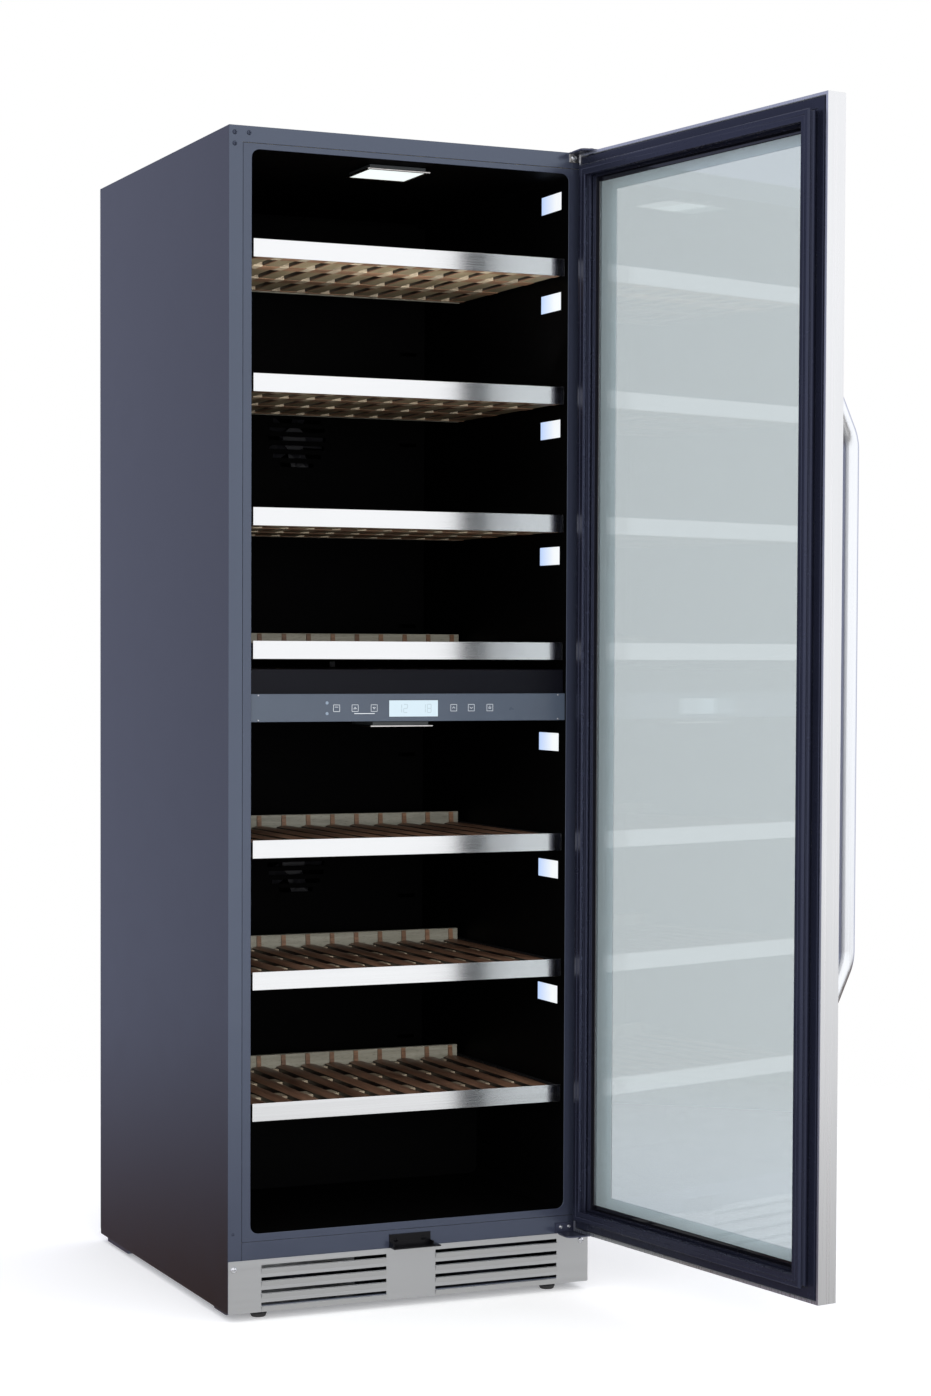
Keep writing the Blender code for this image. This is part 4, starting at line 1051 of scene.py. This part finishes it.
def build_handle(mat):
    """A bent tube whose sloping ends meet the door's face."""
    low, high = in_door("door_handle")
    radius = (high.x - low.x) / 2
    x = (low.x + high.x) / 2
    out = low.y + radius
    middle = (low.z + high.z) / 2
    slope, bend = math.radians(27), 0.060
    face = high.y
    reach = face - out
    end = (high.z - low.z) / 2 - radius / math.sin(slope)
    straight = end - reach / math.tan(slope) - bend * math.tan(slope / 2)
    half = [Vector((x, out, straight * k / 10)) for k in range(11)]
    steps = 16
    for i in range(1, steps + 1):
        a = slope * i / steps
        half.append(Vector((x, out + bend * (1 - math.cos(a)), straight + bend * math.sin(a))))
    last = half[-1]
    direction = Vector((0, math.sin(slope), math.cos(slope)))
    half.append(last + direction * 0.20)
    path = [Vector((p.x, p.y, -p.z)) for p in reversed(half[1:])] + half
    bm = swept([p + Vector((0, 0, middle)) for p in path], radius, 48)
    geometry = bm.verts[:] + bm.edges[:] + bm.faces[:]
    cut = bmesh.ops.bisect_plane(
        bm, geom=geometry, plane_co=(0, face, 0), plane_no=(0, 1, 0), clear_outer=True
    )
    rim = [e for e in cut["geom_cut"] if isinstance(e, bmesh.types.BMEdge)]
    bmesh.ops.contextual_create(bm, geom=rim)
    bmesh.ops.recalc_face_normals(bm, faces=bm.faces)
    name = "door_handle"
    finish_object(f"{name}_body", bm, mat["tube"], "door", name, place=DOOR)


# Stage


def build_stage():
    """The camera, the floor, the surroundings and three lights."""
    scene = bpy.context.scene
    camera = bpy.data.cameras.new("camera")
    camera.lens = LENS
    camera.sensor_width = 36.0
    camera.shift_x, camera.shift_y = SHIFT
    camera.clip_end = 100
    holder = bpy.data.objects.new("camera", camera)
    turn = Matrix.Rotation(math.radians(-CAMERA_TURN), 4, "Z")
    tilt = Matrix.Rotation(math.radians(90 + CAMERA_PITCH), 4, "X")
    roll = Matrix.Rotation(math.radians(CAMERA_ROLL), 4, "Z")
    holder.matrix_world = Matrix.Translation(CAMERA_PLACE) @ turn @ tilt @ roll
    scene.collection.objects.link(holder)
    scene.camera = holder
    scene.view_settings.view_transform = "Standard"
    build_floor()
    build_world()
    add_light("front_light", (-1.4, -4.4, 1.25), (0, -0.4, 0.9), (1.4, 1.4), 60)
    add_light("low_light", (-0.35, -1.9, 0.85), (-0.1, -0.4, 1.15), (0.7, 0.7), 9)
    place, aim = from_case(0, 0.03, 1.45), from_case(0, 0.16, 1.60)
    add_light("bay_light", place, aim, (0.46, 0.06), 0.62)


def add_light(name, place, aim, size, power):
    """A soft light that shows in no reflection."""
    data = bpy.data.lights.new(name, "AREA")
    data.shape = "RECTANGLE"
    data.size, data.size_y = size
    data.energy = power
    light = bpy.data.objects.new(name, data)
    aim = (Vector(aim) - Vector(place)).to_track_quat("-Z", "Y").to_matrix().to_4x4()
    light.matrix_world = Matrix.Translation(place) @ aim
    light.visible_glossy = False
    light.visible_camera = False
    bpy.context.scene.collection.objects.link(light)


def build_floor():
    """A pale floor that fades into the white surroundings."""
    n = Nodes("pale_floor")
    at = n.place()
    length = n.add("ShaderNodeVectorMath", operation="LENGTH")
    n.link(at, length.inputs[0])
    faint = n.mix(n.noise(at, 4.0, 2.0), (0.90, 0.90, 0.90), (0.93, 0.93, 0.93))
    n.set(Base_Color=faint, Roughness=0.9, Specular_IOR_Level=0.0)
    n.set(Emission_Color=(1, 1, 1), Emission_Strength=0.25)
    n.set(Alpha=n.span(length.outputs["Value"], 1.0, 0.0, 0.7, 2.4))
    bm = bmesh.new()
    bmesh.ops.create_circle(bm, cap_ends=True, segments=96, radius=2.6)
    mesh = bpy.data.meshes.new("floor")
    bm.to_mesh(mesh)
    bm.free()
    mesh.materials.append(n.mat)
    floor = bpy.data.objects.new("floor", mesh)
    floor.location = (0, 0, -0.0002)
    floor.visible_glossy = False
    bpy.context.scene.collection.objects.link(floor)


def build_world():
    """White to the camera. Mirrored, it is bright in front and bluish behind, and it has
    a dark band below the horizon."""
    world = bpy.data.worlds.new("studio")
    world.use_nodes = True
    tree = world.node_tree
    tree.nodes.clear()
    make, link = tree.nodes.new, tree.links.new
    output = make("ShaderNodeOutputWorld")
    seen = make("ShaderNodeBackground")
    seen.inputs["Color"].default_value = (1, 1, 1, 1)
    lit = make("ShaderNodeBackground")
    coordinates = make("ShaderNodeTexCoord")
    split = make("ShaderNodeSeparateXYZ")
    link(coordinates.outputs["Generated"], split.inputs["Vector"])
    lift = make("ShaderNodeMapRange")
    lift.inputs["From Min"].default_value = -1
    link(split.outputs["Z"], lift.inputs["Value"])
    front = [
        (0.0, (0.80, 0.79, 0.78)),
        (0.28, (0.70, 0.69, 0.68)),
        (0.37, (0.22, 0.20, 0.19)),
        (0.398, (0.17, 0.155, 0.15)),
        (0.421, (1.38, 1.39, 1.41)),
        (0.52, (1.36, 1.37, 1.39)),
        (0.60, (1.42, 1.42, 1.44)),
        (1.0, (1.10, 1.10, 1.10)),
    ]
    back = [
        (0.0, (0.50, 0.49, 0.48)),
        (0.28, (0.40, 0.38, 0.37)),
        (0.365, (0.13, 0.08, 0.065)),
        (0.395, (0.13, 0.075, 0.06)),
        (0.435, (0.40, 0.44, 0.64)),
        (0.60, (0.43, 0.46, 0.66)),
        (1.0, (0.90, 0.90, 0.94)),
    ]
    mix = make("ShaderNodeMix")
    mix.data_type = "RGBA"
    for index, stops in ((6, front), (7, back)):
        ramp = make("ShaderNodeValToRGB")
        fill_ramp(ramp, stops)
        link(lift.outputs["Result"], ramp.inputs["Fac"])
        link(ramp.outputs["Color"], mix.inputs[index])
    depth = make("ShaderNodeMapRange")
    depth.inputs["From Min"].default_value = -0.2
    depth.inputs["From Max"].default_value = 0.5
    link(split.outputs["Y"], depth.inputs["Value"])
    link(depth.outputs["Result"], mix.inputs[0])
    link(mix.outputs[2], lit.inputs["Color"])
    path = make("ShaderNodeLightPath")
    choose = make("ShaderNodeMixShader")
    link(path.outputs["Is Camera Ray"], choose.inputs["Fac"])
    link(lit.outputs[0], choose.inputs[1])
    link(seen.outputs[0], choose.inputs[2])
    link(choose.outputs[0], output.inputs["Surface"])
    bpy.context.scene.world = world


def main():
    rng = random.Random(11)
    mat = make_materials()
    build_stage()
    build_case(mat)
    build_base(mat)
    for number in SHELVES:
        build_shelf(number, mat, rng)
    build_controls(mat)
    build_lamps(mat)
    build_inner(mat)
    build_hinges(mat)
    build_door(mat)


main()
bpy.context.view_layer.update()
